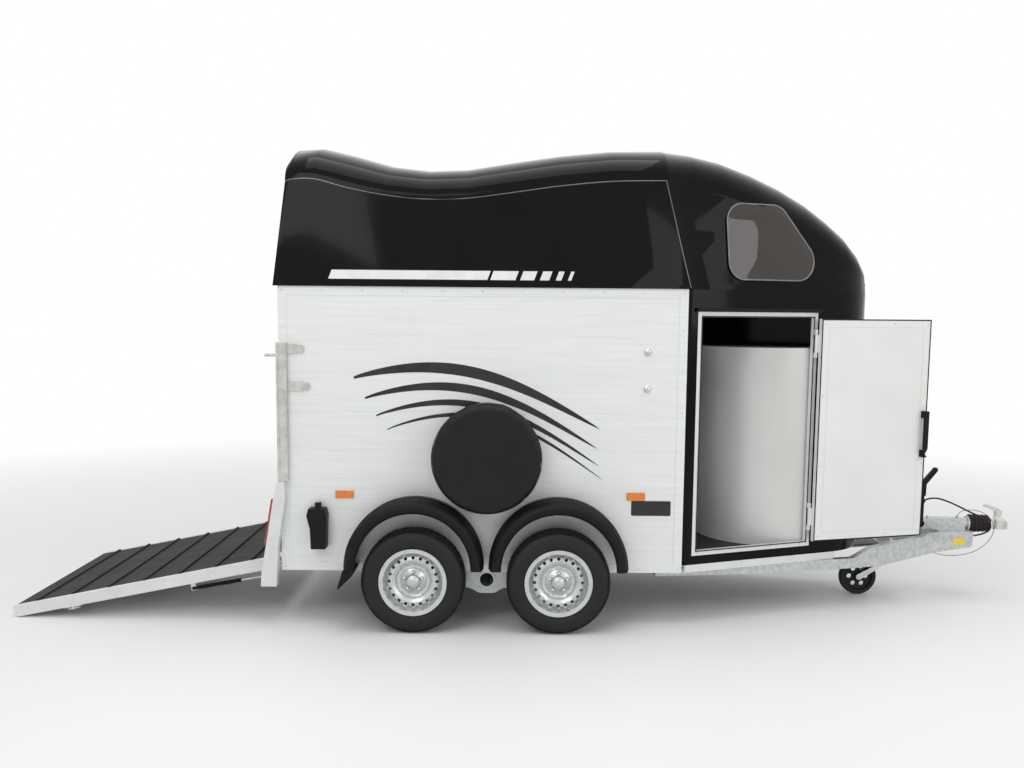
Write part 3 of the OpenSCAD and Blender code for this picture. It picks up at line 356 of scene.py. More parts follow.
# The drip rail over the doorway is black
frameMesh = skins["door_frame"].data
frameMesh.materials.append(finishes["mattBlack"])
for polygon in frameMesh.polygons:
    if polygon.center.z > 1.7301:
        polygon.material_index = 1
print("trailer: CAD pieces eased and smoothed")

# Geometry Nodes: a domed head on every point of a mesh, turned to that point's own direction
def headTree():
    tree = bpy.data.node_groups.new("domedHeads", "GeometryNodeTree")
    face = tree.interface
    face.new_socket("Points", in_out="INPUT", socket_type="NodeSocketGeometry")
    face.new_socket("Radius", in_out="INPUT", socket_type="NodeSocketFloat")
    face.new_socket("Flatness", in_out="INPUT", socket_type="NodeSocketFloat")
    face.new_socket("Sides", in_out="INPUT", socket_type="NodeSocketInt")
    face.new_socket("Material", in_out="INPUT", socket_type="NodeSocketMaterial")
    face.new_socket("Heads", in_out="OUTPUT", socket_type="NodeSocketGeometry")
    given = tree.nodes.new("NodeGroupInput")
    made = tree.nodes.new("NodeGroupOutput")
    dome = tree.nodes.new("GeometryNodeMeshUVSphere")
    dome.inputs["Rings"].default_value = 6
    squash = tree.nodes.new("GeometryNodeTransform")
    scale = tree.nodes.new("ShaderNodeCombineXYZ")
    scale.inputs["X"].default_value = 1
    scale.inputs["Y"].default_value = 1
    spread = tree.nodes.new("GeometryNodeInstanceOnPoints")
    facing = tree.nodes.new("GeometryNodeInputNamedAttribute")
    facing.data_type = "FLOAT_VECTOR"
    facing.inputs["Name"].default_value = "facing"
    turn = tree.nodes.new("FunctionNodeAlignRotationToVector")
    turn.axis = "Z"
    real = tree.nodes.new("GeometryNodeRealizeInstances")
    smooth = tree.nodes.new("GeometryNodeSetShadeSmooth")
    paint = tree.nodes.new("GeometryNodeSetMaterial")
    link = tree.links.new
    link(given.outputs["Radius"], dome.inputs["Radius"])
    link(given.outputs["Sides"], dome.inputs["Segments"])
    link(given.outputs["Flatness"], scale.inputs["Z"])
    link(dome.outputs["Mesh"], squash.inputs["Geometry"])
    link(scale.outputs["Vector"], squash.inputs["Scale"])
    link(given.outputs["Points"], spread.inputs["Points"])
    link(squash.outputs["Geometry"], spread.inputs["Instance"])
    link(facing.outputs["Attribute"], turn.inputs["Vector"])
    link(turn.outputs["Rotation"], spread.inputs["Rotation"])
    link(spread.outputs["Instances"], real.inputs["Geometry"])
    link(real.outputs["Geometry"], smooth.inputs["Geometry"])
    link(smooth.outputs["Geometry"], paint.inputs["Geometry"])
    link(given.outputs["Material"], paint.inputs["Material"])
    link(paint.outputs["Geometry"], made.inputs["Heads"])
    return tree


domedHeads = headTree()


def applyTree(name, mesh, tree, values, finish, rideWith):
    carrier = bpy.data.objects.new(name + "_points", mesh)
    bpy.context.scene.collection.objects.link(carrier)
    modifier = carrier.modifiers.new("heads", "NODES")
    modifier.node_group = tree
    for item in tree.interface.items_tree:
        if item.in_out == "INPUT" and item.name in values:
            modifier[item.identifier] = values[item.name]
    carrier.update_tag()
    bpy.context.view_layer.update()
    graph = bpy.context.evaluated_depsgraph_get()
    made = bpy.data.meshes.new_from_object(carrier.evaluated_get(graph))
    bpy.data.objects.remove(carrier)
    made.name = name
    return addPiece(name, made, finish, rideWith, sharp=50)


# Places are (x, y, z, direction x, y, z)
def heads(name, places, radius, flatness, finish, rideWith, sides=12):
    mesh = bpy.data.meshes.new(name + "_at")
    mesh.from_pydata([p[:3] for p in places], [], [])
    facing = mesh.attributes.new("facing", "FLOAT_VECTOR", "POINT")
    for i, p in enumerate(places):
        facing.data[i].vector = p[3:]
    return applyTree(name, mesh, domedHeads,
                     {"Radius": radius, "Flatness": flatness, "Sides": sides, "Material": finishes[finish]},
                     finish, rideWith)


def box(name):
    low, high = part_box(name)
    return Vector(low), Vector(high)


wallLow, wallHigh = box("side_wall_right")
hoodLow, hoodHigh = box("roof_shell")
flank = {"corner": Vector((0.800, -0.700, 0)), "angle": math.radians(22)}
flank["along"] = Vector((math.cos(flank["angle"]), math.sin(flank["angle"]), 0))
flank["out"] = Vector((math.sin(flank["angle"]), -math.cos(flank["angle"]), 0))


def onFlank(s, z, out):
    return flank["corner"] + flank["along"] * s + flank["out"] * out + Vector((0, 0, z))


# Rivets along the wall's frame and the breast bar's bolts
wallTrim = {"rivetStep": 0.21, "rivetRadius": 0.0042, "inset": 0.022, "boltRadius": 0.0205}


def wallRivets(w):
    places = []
    for side in (-1, 1):
        y = side * 0.7040
        count = int((wallHigh.x - wallLow.x) / w["rivetStep"])
        for i in range(count + 1):
            x = wallLow.x + w["inset"] + (wallHigh.x - wallLow.x - 2 * w["inset"]) * i / count
            for z in (wallLow.z + w["inset"], wallHigh.z - w["inset"]):
                places.append((x, y, z, 0, side, 0))
        for i in range(1, 7):
            z = wallLow.z + (wallHigh.z - wallLow.z) * i / 7
            for x in (wallLow.x + w["inset"], wallHigh.x - w["inset"]):
                places.append((x, y, z, 0, side, 0))
    heads("wallRivets", places, w["rivetRadius"], 0.45, "zinc", "side_wall_right", sides=10)
    bolts = [(0.568, side * 0.7088, z, 0, side, 0) for side in (-1, 1) for z in (1.312, 1.512)]
    heads("wallBolts", bolts, w["boltRadius"], 0.5, "zinc", "side_wall_right", sides=24)


wallRivets(wallTrim)


# Flat films: an outline in (x, z) laid on the wall or on the hood's side, a little proud of it
def treeOf(obj):
    graph = bpy.context.evaluated_depsgraph_get()
    return BVHTree.FromObject(obj, graph)


def film(name, quads, finish, rideWith, surfaceAt, steps=6):
    vertices, faces = [], []
    for quad in quads:
        a, b, c, d = [Vector((p[0], 0, p[1])) for p in quad]
        start = len(vertices)
        for i in range(steps + 1):
            for j in range(3):
                low = a.lerp(b, i / steps)
                high = d.lerp(c, i / steps)
                p = low.lerp(high, j / 2)
                vertices.append((p.x, surfaceAt(p.x, p.z), p.z))
        for i in range(steps):
            for j in range(2):
                k = start + i * 3 + j
                faces.append((k, k + 3, k + 4, k + 1))
    return newObject(name, vertices, faces, finish, rideWith)


hoodTree = treeOf(hood)


def hoodSide(x, z):
    hit = hoodTree.ray_cast(Vector((x, -1.5, z)), Vector((0, 1, 0)))
    return (hit[0].y if hit[0] else -0.70) - 0.0009


# Hood stripe: one long bar, then shorter bars that step away, all cut at a slant
hoodStripe = {"low": 1.889, "high": 1.937, "slant": 0.018,
              "bars": [(-1.150, -0.300), (-0.285, -0.150), (-0.125, -0.050), (-0.020, 0.030), (0.065, 0.095),
                       (0.130, 0.148)]}


def makeHoodStripe(s):
    quads = []
    for left, right in s["bars"]:
        quads.append(((left, s["low"]), (right, s["low"]), (right + s["slant"], s["high"]),
                      (left + s["slant"], s["high"])))
    film("hoodStripe", quads, "filmWhite", "roof_shell", hoodSide, steps=24)


makeHoodStripe(hoodStripe)

# Wall design: four tapering sweeps that pass behind the spare wheel. Columns: start x and z, rise, length, width
wallSweeps = {"rows": [(-1.02, 1.36, 0.16, 1.34, 0.062), (-0.96, 1.25, 0.17, 1.27, 0.048),
                       (-0.90, 1.155, 0.18, 1.22, 0.036), (-0.84, 1.08, 0.19, 1.18, 0.024)],
              "steps": 40}


def makeWallSweeps(s):
    vertices, faces = [], []
    for x0, z0, rise, length, width in s["rows"]:
        start = len(vertices)
        for i in range(s["steps"] + 1):
            t = i / s["steps"]
            x = x0 + length * t
            z = z0 - 0.62 * t ** 1.5 + rise * math.sin(math.pi * t) + 0.35 * t * t
            half = 0.5 * width * math.sin(math.pi * min(1, 0.04 + t * 0.96)) ** 0.7
            vertices.append((x, -0.7008, z - half))
            vertices.append((x, -0.7008, z + half))
        for i in range(s["steps"]):
            k = start + 2 * i
            faces.append((k, k + 2, k + 3, k + 1))
    newObject("wallSweeps", vertices, faces, "filmBlack", "side_wall_right")


makeWallSweeps(wallSweeps)


# A plate with eased edges, drawn in its own plane: middle, half width, half height, thickness
def plate(name, middle, along, up, halfWidth, halfHeight, thick, finish, rideWith, ease=0.002):
    out = along.cross(up).normalized()
    ring = []
    for a, b in ((-1, -1), (1, -1), (1, 1), (-1, 1)):
        for k in range(4):
            angle = math.pi + math.pi / 2 * ((0, 1, 2, 3)[((a, b) == (1, -1)) + 2 * ((a, b) == (1, 1))
                                                          + 3 * ((a, b) == (-1, 1))] + k / 3)
            corner = middle + along * a * (halfWidth - ease) + up * b * (halfHeight - ease)
            ring.append(corner + along * math.cos(angle) * ease + up * math.sin(angle) * ease)
    n = len(ring)
    vertices = [p for p in ring] + [p + out * thick for p in ring]
    faces = [tuple(range(n))[::-1], tuple(range(n, 2 * n))]
    faces += [(i, (i + 1) % n, n + (i + 1) % n, n + i) for i in range(n)]
    return newObject(name, vertices, faces, finish, rideWith)


xAxis, zAxis = Vector((1, 0, 0)), Vector((0, 0, 1))
plate("blankPlate", Vector((0.604, -0.7002, 0.656)), xAxis, zAxis, 0.108, 0.041, 0.0022, "plateBlack",
      "side_wall_right", ease=0.006)

# Tack door: black edge, inset bead and rim screws, then screws and a seal round the doorway
door = {"hinge": Vector((1.55441, -0.41030, 0)), "turn": math.radians(22 + 180 + 174), "low": 0.422, "high": 1.696,
        "far": 0.734, "near": 0.014, "face": 0.036}
doorAlong = Vector((math.cos(door["turn"]), math.sin(door["turn"]), 0))
doorOut = Vector((doorAlong.y, -doorAlong.x, 0))


def onDoor(s, z, out=0.0):
    return door["hinge"] + doorAlong * s + doorOut * (door["face"] + out) + Vector((0, 0, z))


def frameStrips(name, corners, width, thick, out, finish, rideWith):
    middle = sum(corners, Vector()) / 4
    vertices, faces = [], []
    for i in range(4):
        a = corners[i]
        inward = Vector()
        for other in (corners[i - 1] - a, corners[(i + 1) % 4] - a):
            inward += other.normalized() * width
        vertices += [a, a + inward, a + out * thick, a + inward + out * thick]
    for i in range(4):
        a, b = 4 * i, 4 * ((i + 1) % 4)
        faces += [(a + 2, b + 2, b + 3, a + 3), (a, b, b + 2, a + 2), (a + 1, a + 3, b + 3, b + 1),
                  (a, a + 1, b + 1, b)]
    obj = newObject(name, vertices, faces, finish, rideWith, smooth=False)
    return obj


def makeDoorTrim(d):
    lo, hi, near, far = d["low"], d["high"], d["near"], d["far"]
    corners = [onDoor(near, lo), onDoor(far, lo), onDoor(far, hi), onDoor(near, hi)]
    frameStrips("doorEdge", corners, 0.007, 0.0012, doorOut, "mattBlack", "tack_door")
    inner = [onDoor(near + 0.048, lo + 0.045), onDoor(far - 0.048, lo + 0.045), onDoor(far - 0.048, hi - 0.045),
             onDoor(near + 0.048, hi - 0.045)]
    frameStrips("doorBead", inner, 0.004, 0.0010, doorOut, "trimWhite", "tack_door")
    places = []
    for i in range(4):
        t = i / 3
        for s in (near + 0.024, far - 0.024):
            places.append((*onDoor(s, lo + 0.03 + (hi - lo - 0.06) * t), *doorOut))
    for i in range(1, 3):
        for z in (lo + 0.024, hi - 0.024):
            places.append((*onDoor(near + 0.024 + (far - near - 0.048) * i / 3, z), *doorOut))
    heads("doorScrews", places, 0.0055, 0.4, "zinc", "tack_door")
    rivets = []
    for s in (0.07, 0.40, 0.76):
        for z in (0.402, 1.716):
            rivets.append((*onFlank(s, z, 0.0), *flank["out"]))
    for z in (0.62, 0.95, 1.28, 1.58):
        for s in (0.054, 0.814):
            rivets.append((*onFlank(s, z, 0.0), *flank["out"]))
    heads("doorFrameScrews", rivets, 0.0048, 0.4, "zinc", "door_frame")
    low, high, a, b = 0.388, 1.730, 0.040, 0.828
    seal = [onFlank(a + 0.022, low + 0.022, 0.0004), onFlank(b - 0.022, low + 0.022, 0.0004),
            onFlank(b - 0.022, high - 0.022, 0.0004), onFlank(a + 0.022, high - 0.022, 0.0004)]
    frameStrips("doorSeal", seal, 0.0055, 0.003, flank["out"], "rubber", "door_frame")


makeDoorTrim(door)
print("trailer: trim and door ready")


# Tube along points, closed at both ends
def tube(points, radii, sides=14):
    vertices, faces = [], []
    normal = None
    count = len(points)
    for i, p in enumerate(points):
        tangent = (points[min(i + 1, count - 1)] - points[max(i - 1, 0)]).normalized()
        if normal is None:
            normal = tangent.orthogonal().normalized()
        normal = (normal - tangent * normal.dot(tangent)).normalized()
        side = tangent.cross(normal)
        r = radii[i] if hasattr(radii, "__len__") else radii
        for k in range(sides):
            angle = 2 * math.pi * k / sides
            vertices.append(p + (normal * math.cos(angle) + side * math.sin(angle)) * r)
    for i in range(count - 1):
        for k in range(sides):
            faces.append((i * sides + k, i * sides + (k + 1) % sides, (i + 1) * sides + (k + 1) % sides,
                          (i + 1) * sides + k))
    faces.append(tuple(range(sides))[::-1])
    faces.append(tuple((count - 1) * sides + k for k in range(sides)))
    return vertices, faces


def smoothLine(points, steps):
    p = [Vector(q) for q in points]
    line = []
    for i in range(len(p) - 1):
        a, b, c, d = p[max(i - 1, 0)], p[i], p[i + 1], p[min(i + 2, len(p) - 1)]
        for k in range(steps):
            t = k / steps
            line.append(0.5 * (2 * b + (c - a) * t + (2 * a - 5 * b + 4 * c - d) * t * t
                               + (3 * b - a - 3 * c + d) * t ** 3))
    line.append(p[-1])
    return line


# Rounded bead that the moulding has along its crease and down its front edge, in a lighter and far glossier black than
# the hood, which paints a highlight line there
def makeCreaseBead(c):
    for side, name in ((-1, "Right"), (1, "Left")):
        route = [(x, side * (half - c["sink"]), z - c["sink"]) for x, half, z in c["ridge"]]
        line = smoothLine(route, 6)
        vertices, faces = tube(line, c["radius"], 12)
        newObject("creaseBead" + name, vertices, faces, "beadHighlightBlack", "roof_shell")
        route = [(x, side * (half - c["sink"]), z) for x, half, z in [c["ridge"][-1]] + c["frontEdge"]]
        vertices, faces = tube(smoothLine(route, 6), c["radius"], 12)
        newObject("edgeBead" + name, vertices, faces, "beadHighlightBlack", "roof_shell")


makeCreaseBead(crease)

# Side windows: a bulged acrylic pane that overlaps its opening, with a seal round it whose grey is a painted highlight
# on a black glossy rim. In the flank's own plane.
window = {"s": 0.236, "z": 1.907, "w": 0.560, "h": 0.414, "rake": 35, "bulge": 0.012, "proud": 0.0035, "rings": 8,
          "seal": 0.0042}


def windowOutline(w):
    def arc(cx, cz, r, a0, a1, n):
        return [(cx + r * math.cos(math.radians(a0 + (a1 - a0) * i / n)),
                 cz + r * math.sin(math.radians(a0 + (a1 - a0) * i / n))) for i in range(n + 1)]
    return (arc(0.090, 0.090, 0.090, 180, 270, 8) + arc(w["w"] - 0.112, 0.112, 0.112, -90, w["rake"], 12)
            + arc(w["w"] - 0.256, w["h"] - 0.100, 0.100, w["rake"], 90, 8)
            + arc(0.100, w["h"] - 0.100, 0.100, 90, 180, 8))


def makeWindows(w):
    outline = windowOutline(w)
    n = len(outline)
    paneTree = BVHTree.FromPolygons([v.co for v in nodes["windows"].data.vertices],
                                    [tuple(p.vertices) for p in nodes["windows"].data.polygons])
    centre = (sum(p[0] for p in outline) / n, sum(p[1] for p in outline) / n)

    def skin(s, z):
        start = onFlank(s, z, 0.5)
        reach = []
        for tree, behind in ((hoodTree, 0.0), (paneTree, 0.006)):
            hit = tree.ray_cast(start, -flank["out"], 1.2)
            if hit[0]:
                reach.append(hit[3] - behind)
        return 0.5 - min(reach)

    rows = []
    for k in range(w["rings"] + 1):
        t = 1 - k / (w["rings"] + 1)
        row = []
        for s, z in outline:
            a, b = centre[0] + (s - centre[0]) * t, centre[1] + (z - centre[1]) * t
            lift = w["proud"] + w["bulge"] * (1 - t ** 3)
            row.append(onFlank(w["s"] + a, w["z"] + b, skin(w["s"] + a, w["z"] + b) + lift))
        rows.append(row)
    middle = onFlank(w["s"] + centre[0], w["z"] + centre[1],
                     skin(w["s"] + centre[0], w["z"] + centre[1]) + w["proud"] + w["bulge"])
    vertices = [p for row in rows for p in row] + [middle]
    faces = []
    for k in range(w["rings"]):
        for i in range(n):
            j = (i + 1) % n
            faces.append((k * n + i, k * n + j, (k + 1) * n + j, (k + 1) * n + i))
    last = w["rings"] * n
    faces += [(last + i, last + (i + 1) % n, len(vertices) - 1) for i in range(n)]
    rim = rows[0] + [rows[0][0], rows[0][1]]
    sealVertices, sealFaces = tube(rim, w["seal"], 10)
    for side, name in ((1, "Right"), (-1, "Left")):
        turned = [f if side > 0 else f[::-1] for f in faces]
        newObject("acrylic" + name, [(v[0], side * v[1], v[2]) for v in vertices], turned, "smoked", "windows",
                  sharp=80)
        # The seal's grey paints the highlight along the black glossy rim
        turned = [f if side > 0 else f[::-1] for f in sealFaces]
        newObject("windowSeal" + name, [(v[0], side * v[1], v[2]) for v in sealVertices], turned, "sealPaintedHighlightGrey",
                  "windows")


makeWindows(window)

# Blank yellow label on the right drawbar beam
beamAlong = Vector((0.9646, 0.2637, 0))
plate("blankLabel", Vector((2.5563, -0.1216, 0.362)), beamAlong, zAxis, 0.042, 0.021, 0.0008, "labelYellow", "drawbar",
      ease=0.003)
print("trailer: beads, windows and label ready")

# Cables, on the same route points as the CAD's, in metres
cables = {
    "power": [(2.644, 0, 0.370), (2.690, -0.012, 0.374), (2.735, -0.038, 0.392), (2.762, -0.068, 0.424),
              (2.752, -0.082, 0.466), (2.705, -0.074, 0.500), (2.645, -0.050, 0.528), (2.580, -0.026, 0.560),
              (2.520, -0.010, 0.586), (2.465, -0.002, 0.602), (2.420, 0, 0.602), (2.385, 0, 0.592)],
    "breakaway": [(2.585, -0.006, 0.490), (2.600, -0.018, 0.522), (2.640, -0.026, 0.536), (2.690, -0.040, 0.536),
                  (2.735, -0.058, 0.516), (2.768, -0.076, 0.480), (2.778, -0.086, 0.436), (2.768, -0.090, 0.390),
                  (2.738, -0.092, 0.346), (2.692, -0.094, 0.310), (2.636, -0.098, 0.284), (2.574, -0.102, 0.272),
                  (2.512, -0.108, 0.270), (2.455, -0.118, 0.276), (2.416, -0.126, 0.288), (2.402, -0.130, 0.302)],
    "steps": 8,
}


def makeCable(name, route, radius, finish, node):
    line = smoothLine(route, cables["steps"])
    vertices, faces = tube(line, radius)
    obj = newObject(name, vertices, faces, finish, node)
    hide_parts(node)
    return line


powerLine = makeCable("powerCable", cables["power"], 0.005, "rubber", "power_cable")
makeCable("breakawayCable", cables["breakaway"], 0.002, "cableRed", "breakaway_cable")
reliefVertices, reliefFaces = tube(powerLine[:7], [0.0095, 0.0092, 0.0088, 0.0082, 0.0075, 0.0068, 0.0060], 16)
newObject("cableRelief", reliefVertices, reliefFaces, "rubber", "power_cable")
print("trailer: cables ready")

# Spare wheel's cover: one sewn cloth with a gathered rim
cover = {"centre": Vector((-0.295, 0, 0.940)), "radius": 0.2925, "front": -0.8825, "back": -0.7235, "corner": 0.030,
         "hem": 0.018, "around": 180, "seed": 4.7}


def makeCover(c):
    profile = []
    for i in range(26):
        r = (c["radius"] - c["corner"]) * i / 25
        profile.append((max(r, 0.0008), c["front"] - 0.002 * math.sin(math.pi * i / 25)))
    for i in range(1, 9):
        a = math.pi / 2 * i / 8
        profile.append((c["radius"] - c["corner"] + c["corner"] * math.sin(a),
                        c["front"] + c["corner"] * (1 - math.cos(a))))
    depth = c["back"] - c["front"] - c["corner"]
    for i in range(1, 15):
        profile.append((c["radius"], c["front"] + c["corner"] + depth * i / 14))
    for i in range(1, 5):
        profile.append((c["radius"] - c["hem"] * i / 4, c["back"] + 0.002 * math.sin(math.pi * i / 4)))
    vertices, faces = [], []
    n = c["around"]
    for j, (r, y) in enumerate(profile):
        rim = max(0.0, min(1.0, (r - 0.17) / 0.12))
        for k in range(n):
            a = 2 * math.pi * k / n
            wave = (math.sin(17 * a + 0.8 * math.sin(3 * a)) + 0.6 * math.sin(29 * a + 2.0)
                    + 0.5 * math.sin(43 * a + 5 * y))
            fold = noise.noise(Vector((r * 9 * math.cos(a), r * 9 * math.sin(a), c["seed"])))
            inward = 0.0011 * rim * wave + 0.0022 * rim * fold
            vertices.append((c["centre"].x + (r + min(inward, 0.0035)) * math.cos(a),
                             y - 0.0016 * fold * (1 - rim) - 0.0007 * rim * wave,
                             c["centre"].z + (r + min(inward, 0.0035)) * math.sin(a)))
    for j in range(len(profile) - 1):
        for k in range(n):
            a, b = j * n + k, j * n + (k + 1) % n
            faces.append((a, b, b + n, a + n))
    obj = newObject("spareCover", vertices, faces, "vinyl", "spare_wheel", sharp=80)
    vertices, faces = tube([Vector((c["centre"].x + (c["radius"] + 0.0022) * math.cos(2 * math.pi * k / 96),
                                    c["front"] + 0.034,
                                    c["centre"].z + (c["radius"] + 0.0022) * math.sin(2 * math.pi * k / 96)))
                            for k in range(97)], 0.0018, 8)
    newObject("coverPiping", vertices, faces, "vinyl", "spare_wheel")


makeCover(cover)

# Breast bar's pad: foam in a sewn sleeve, pulled in at both ends and along one seam
pad = {"x": 0.568, "z": 1.312, "radius": 0.0365, "half": 0.606, "around": 40, "along": 90}


def makePad(p):
    vertices, faces = [], []
    for i in range(p["along"] + 1):
        t = i / p["along"]
        y = p["half"] * (2 * t - 1)
        end = min(t, 1 - t) * 2 * p["half"]
        swell = (1 - max(0, 1 - end / 0.035) ** 2.2) if end < 0.035 else 1.0
        for k in range(p["around"]):
            a = 2 * math.pi * k / p["around"]
            crease = 0.0012 * noise.noise(Vector((y * 14, math.cos(a) * 2, math.sin(a) * 2)))
            seam = 0.002 * math.exp(-((a - 4.2) / 0.12) ** 2)
            r = max(0.018, 0.0185 + (p["radius"] - 0.0185) * swell + crease - seam)
            vertices.append((p["x"] + r * math.cos(a), y, p["z"] + r * math.sin(a)))
    n = p["around"]
    for i in range(p["along"]):
        for k in range(n):
            a, b = i * n + k, i * n + (k + 1) % n
            faces.append((a, a + n, b + n, b))
    faces.append(tuple(range(n)))
    faces.append(tuple(p["along"] * n + k for k in range(n))[::-1])
    obj = newObject("barPad", vertices, faces, "vinyl", "breast_bar", sharp=60)
    finishedCopy("breast_bar", "zinc", ease=0.001)


makePad(pad)
print("trailer: soft pieces ready")

# Tyres: a smooth carcass with a ring of tread blocks
tyre = {"radius": 0.2805, "half": 0.0825, "rim": 0.182, "blockRows": (-0.058, -0.024, 0.024, 0.058), "blocks": 64,
        "around": 128}
wheelPlaces = {"front_right": (0.095, -1), "front_left": (0.095, 1), "rear_right": (-0.685, -1), "rear_left": (-0.685, 1)}
wheelY = 0.8275


def makeTyre(place, centreX, side, t):
    r, b = t["radius"], t["half"]
    half = [(t["rim"] - 0.014, b * 0.78), (t["rim"] + 0.002, b * 0.86), (t["rim"] + 0.006, b * 0.90),
            (t["rim"] + 0.010, b * 0.91), (t["rim"] + 0.014, b * 0.93), (t["rim"] + 0.022, b * 0.965),
            (t["rim"] + 0.034, b * 0.99), (t["rim"] + 0.046, b), (t["rim"] + 0.049, b * 0.985),
            (t["rim"] + 0.052, b), (r - 0.034, b - 0.003), (r - 0.022, b - 0.008), (r - 0.013, b - 0.014),
            (r - 0.008, b - 0.022), (r - 0.0065, b - 0.034), (r - 0.0065, 0.0)]
    profile = half + [(p[0], -p[1]) for p in half[-2::-1]]
    vertices, faces = [], []
    n = t["around"]
    for rr, y in profile:
        for k in range(n):
            a = 2 * math.pi * k / n
            vertices.append((centreX + rr * math.cos(a), side * wheelY + y, t["radius"] + rr * math.sin(a)))
    m = len(profile)
    for j in range(m - 1):
        for k in range(n):
            a, c = j * n + k, j * n + (k + 1) % n
            faces.append((a, a + n, c + n, c))
    for k in range(n):
        a, c = (m - 1) * n + k, (m - 1) * n + (k + 1) % n
        faces.append((a, k, (k + 1) % n, c))
    # Blocks: each a low frustum with a slanted side, in staggered rows
    for row, y0 in enumerate(t["blockRows"]):
        outer = abs(y0) > 0.04
        halfY = 0.0135 if outer else 0.0145
        for i in range(t["blocks"]):
            a0 = 2 * math.pi * (i + 0.5 * (row % 2)) / t["blocks"]
            da = 2 * math.pi / t["blocks"] * 0.39
            skew = 0.22 * da * (1 if y0 > 0 else -1)
            start = len(vertices)
            for level, grow in ((r - 0.0075, 1.0), (r - 0.0004 - (0.0045 if outer else 0), 0.93)):
                for sa, sy in ((-1, -1), (1, -1), (1, 1), (-1, 1)):
                    a = a0 + sa * da * grow + sy * skew
                    drop = 0.005 if outer and sy * y0 > 0 and grow < 1 else 0.0
                    rise = 0.0045 if outer and sy * y0 < 0 and grow < 1 else 0.0
                    rr = level - drop + rise
                    vertices.append((centreX + rr * math.cos(a), side * wheelY + y0 + sy * halfY * grow,
                                     t["radius"] + rr * math.sin(a)))
            s = start
            faces += [(s + 4, s + 5, s + 6, s + 7), (s, s + 1, s + 5, s + 4), (s + 1, s + 2, s + 6, s + 5),
                      (s + 2, s + 3, s + 7, s + 6), (s + 3, s, s + 4, s + 7), (s + 3, s + 2, s + 1, s)]
    obj = newObject("tread_" + place, vertices, faces, "rubber", "tyre_" + place, sharp=32)
    bm = bmesh.new()
    bm.from_mesh(obj.data)
    bmesh.ops.recalc_face_normals(bm, faces=bm.faces)
    bm.to_mesh(obj.data)
    bm.free()
    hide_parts("tyre_" + place)
    face = side * (wheelY + 0.0375)
    nuts = [(centreX + 0.050 * math.cos(2 * math.pi * i / 5 + 0.3), face,
             t["radius"] + 0.050 * math.sin(2 * math.pi * i / 5 + 0.3), 0, side, 0) for i in range(5)]
    heads("nuts_" + place, nuts, 0.0115, 1.0, "zinc", "rim_" + place, sides=6)
    heads("hubCap_" + place, [(centreX, side * (wheelY + 0.0600), t["radius"], 0, side, 0)], 0.026, 0.28, "rimSilver",
          "rim_" + place, sides=28)


for place, (centreX, side) in wheelPlaces.items():
    makeTyre(place, centreX, side, tyre)
print("trailer: wheels ready")

# Studio: a pale floor, a white surround seen only by the camera and by reflections, soft area lamps
studio = {
    "floorSize": 60.0,
    "floorColour": (0.90, 0.91, 0.90),
    "fadeFrom": 3.2,
    "fadeTo": 8.5,
    "worldLight": 0.55,
    "keyPower": 120.0,
    "fillPower": 60.0,
    "topPower": 160.0,
}


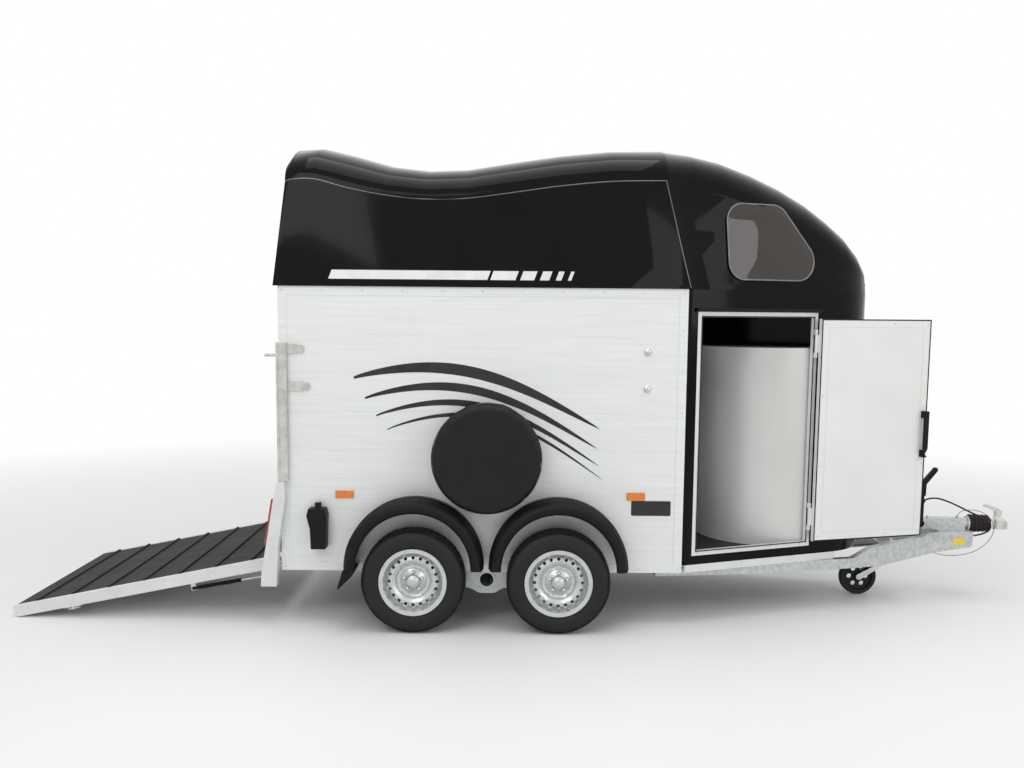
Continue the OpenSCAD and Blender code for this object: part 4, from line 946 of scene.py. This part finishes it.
def makeStudio(s):
    mesh = bpy.data.meshes.new("studioFloor")
    half = s["floorSize"] / 2
    mesh.from_pydata([(-half, -half, 0), (half, -half, 0), (half, half, 0), (-half, half, 0)], [], [(0, 1, 2, 3)])
    floor = bpy.data.objects.new("studioFloor", mesh)
    bpy.context.scene.collection.objects.link(floor)
    material, tree, shader = newMaterial("paleFloor")
    cloud = noiseTexture(tree, objectCoords(tree), 0.7)
    tree.links.new(ramp(tree, cloud, [(0.3, s["floorColour"]), (0.7, tuple(c * 1.02 for c in s["floorColour"]))]),
                   shader.inputs["Base Color"])
    shader.inputs["Roughness"].default_value = 0.55
    coords = tree.nodes.new("ShaderNodeTexCoord")
    reach = addNode(tree, "ShaderNodeVectorMath", operation="LENGTH")
    tree.links.new(coords.outputs["Object"], reach.inputs[0])
    fade = levels(tree, reach.outputs["Value"], 0.0, 1.0, s["fadeFrom"], s["fadeTo"])
    seen = tree.nodes.new("ShaderNodeLightPath")
    share = addNode(tree, "ShaderNodeMath", operation="MULTIPLY")
    tree.links.new(fade, share.inputs[0])
    tree.links.new(seen.outputs["Is Camera Ray"], share.inputs[1])
    glow = tree.nodes.new("ShaderNodeEmission")
    blend = tree.nodes.new("ShaderNodeMixShader")
    tree.links.new(share.outputs["Value"], blend.inputs["Fac"])
    tree.links.new(shader.outputs["BSDF"], blend.inputs[1])
    tree.links.new(glow.outputs["Emission"], blend.inputs[2])
    tree.links.new(blend.outputs["Shader"], tree.nodes["Material Output"].inputs["Surface"])
    mesh.materials.append(material)

    world = bpy.data.worlds.new("studioWorld")
    world.use_nodes = True
    bpy.context.scene.world = world
    tree = world.node_tree
    light = tree.nodes["Background"]
    light.inputs["Color"].default_value = (1, 1, 1, 1)
    light.inputs["Strength"].default_value = s["worldLight"]
    white = tree.nodes.new("ShaderNodeBackground")
    white.inputs["Color"].default_value = (1, 1, 1, 1)
    white.inputs["Strength"].default_value = 1.0
    path = tree.nodes.new("ShaderNodeLightPath")
    camOrGloss = tree.nodes.new("ShaderNodeMath")
    camOrGloss.operation = "MAXIMUM"
    anyRay = tree.nodes.new("ShaderNodeMath")
    anyRay.operation = "MAXIMUM"
    tree.links.new(path.outputs["Is Camera Ray"], camOrGloss.inputs[0])
    tree.links.new(path.outputs["Is Glossy Ray"], camOrGloss.inputs[1])
    tree.links.new(camOrGloss.outputs[0], anyRay.inputs[0])
    tree.links.new(path.outputs["Is Transmission Ray"], anyRay.inputs[1])
    mix = tree.nodes.new("ShaderNodeMixShader")
    tree.links.new(anyRay.outputs[0], mix.inputs["Fac"])
    tree.links.new(light.outputs["Background"], mix.inputs[1])
    tree.links.new(white.outputs["Background"], mix.inputs[2])
    tree.links.new(mix.outputs["Shader"], tree.nodes["World Output"].inputs["Surface"])

    for name, place, target, size, power in (
            ("keyLamp", (-3.0, -6.5, 5.5), (0, 0, 0.8), 3.5, s["keyPower"]),
            ("fillLamp", (5.0, -5.0, 3.0), (0.5, 0, 1.0), 3.0, s["fillPower"]),
            ("topLamp", (0.0, -0.5, 6.5), (0, 0, 0), 5.0, s["topPower"])):
        data = bpy.data.lights.new(name, "AREA")
        data.size = size
        data.energy = power
        lamp = bpy.data.objects.new(name, data)
        bpy.context.scene.collection.objects.link(lamp)
        lamp.location = place
        lamp.rotation_mode = "QUATERNION"
        lamp.rotation_quaternion = (Vector(target) - Vector(place)).to_track_quat("-Z", "Y")
    bpy.context.scene.view_settings.view_transform = "Standard"


makeStudio(studio)
print("trailer: studio ready")
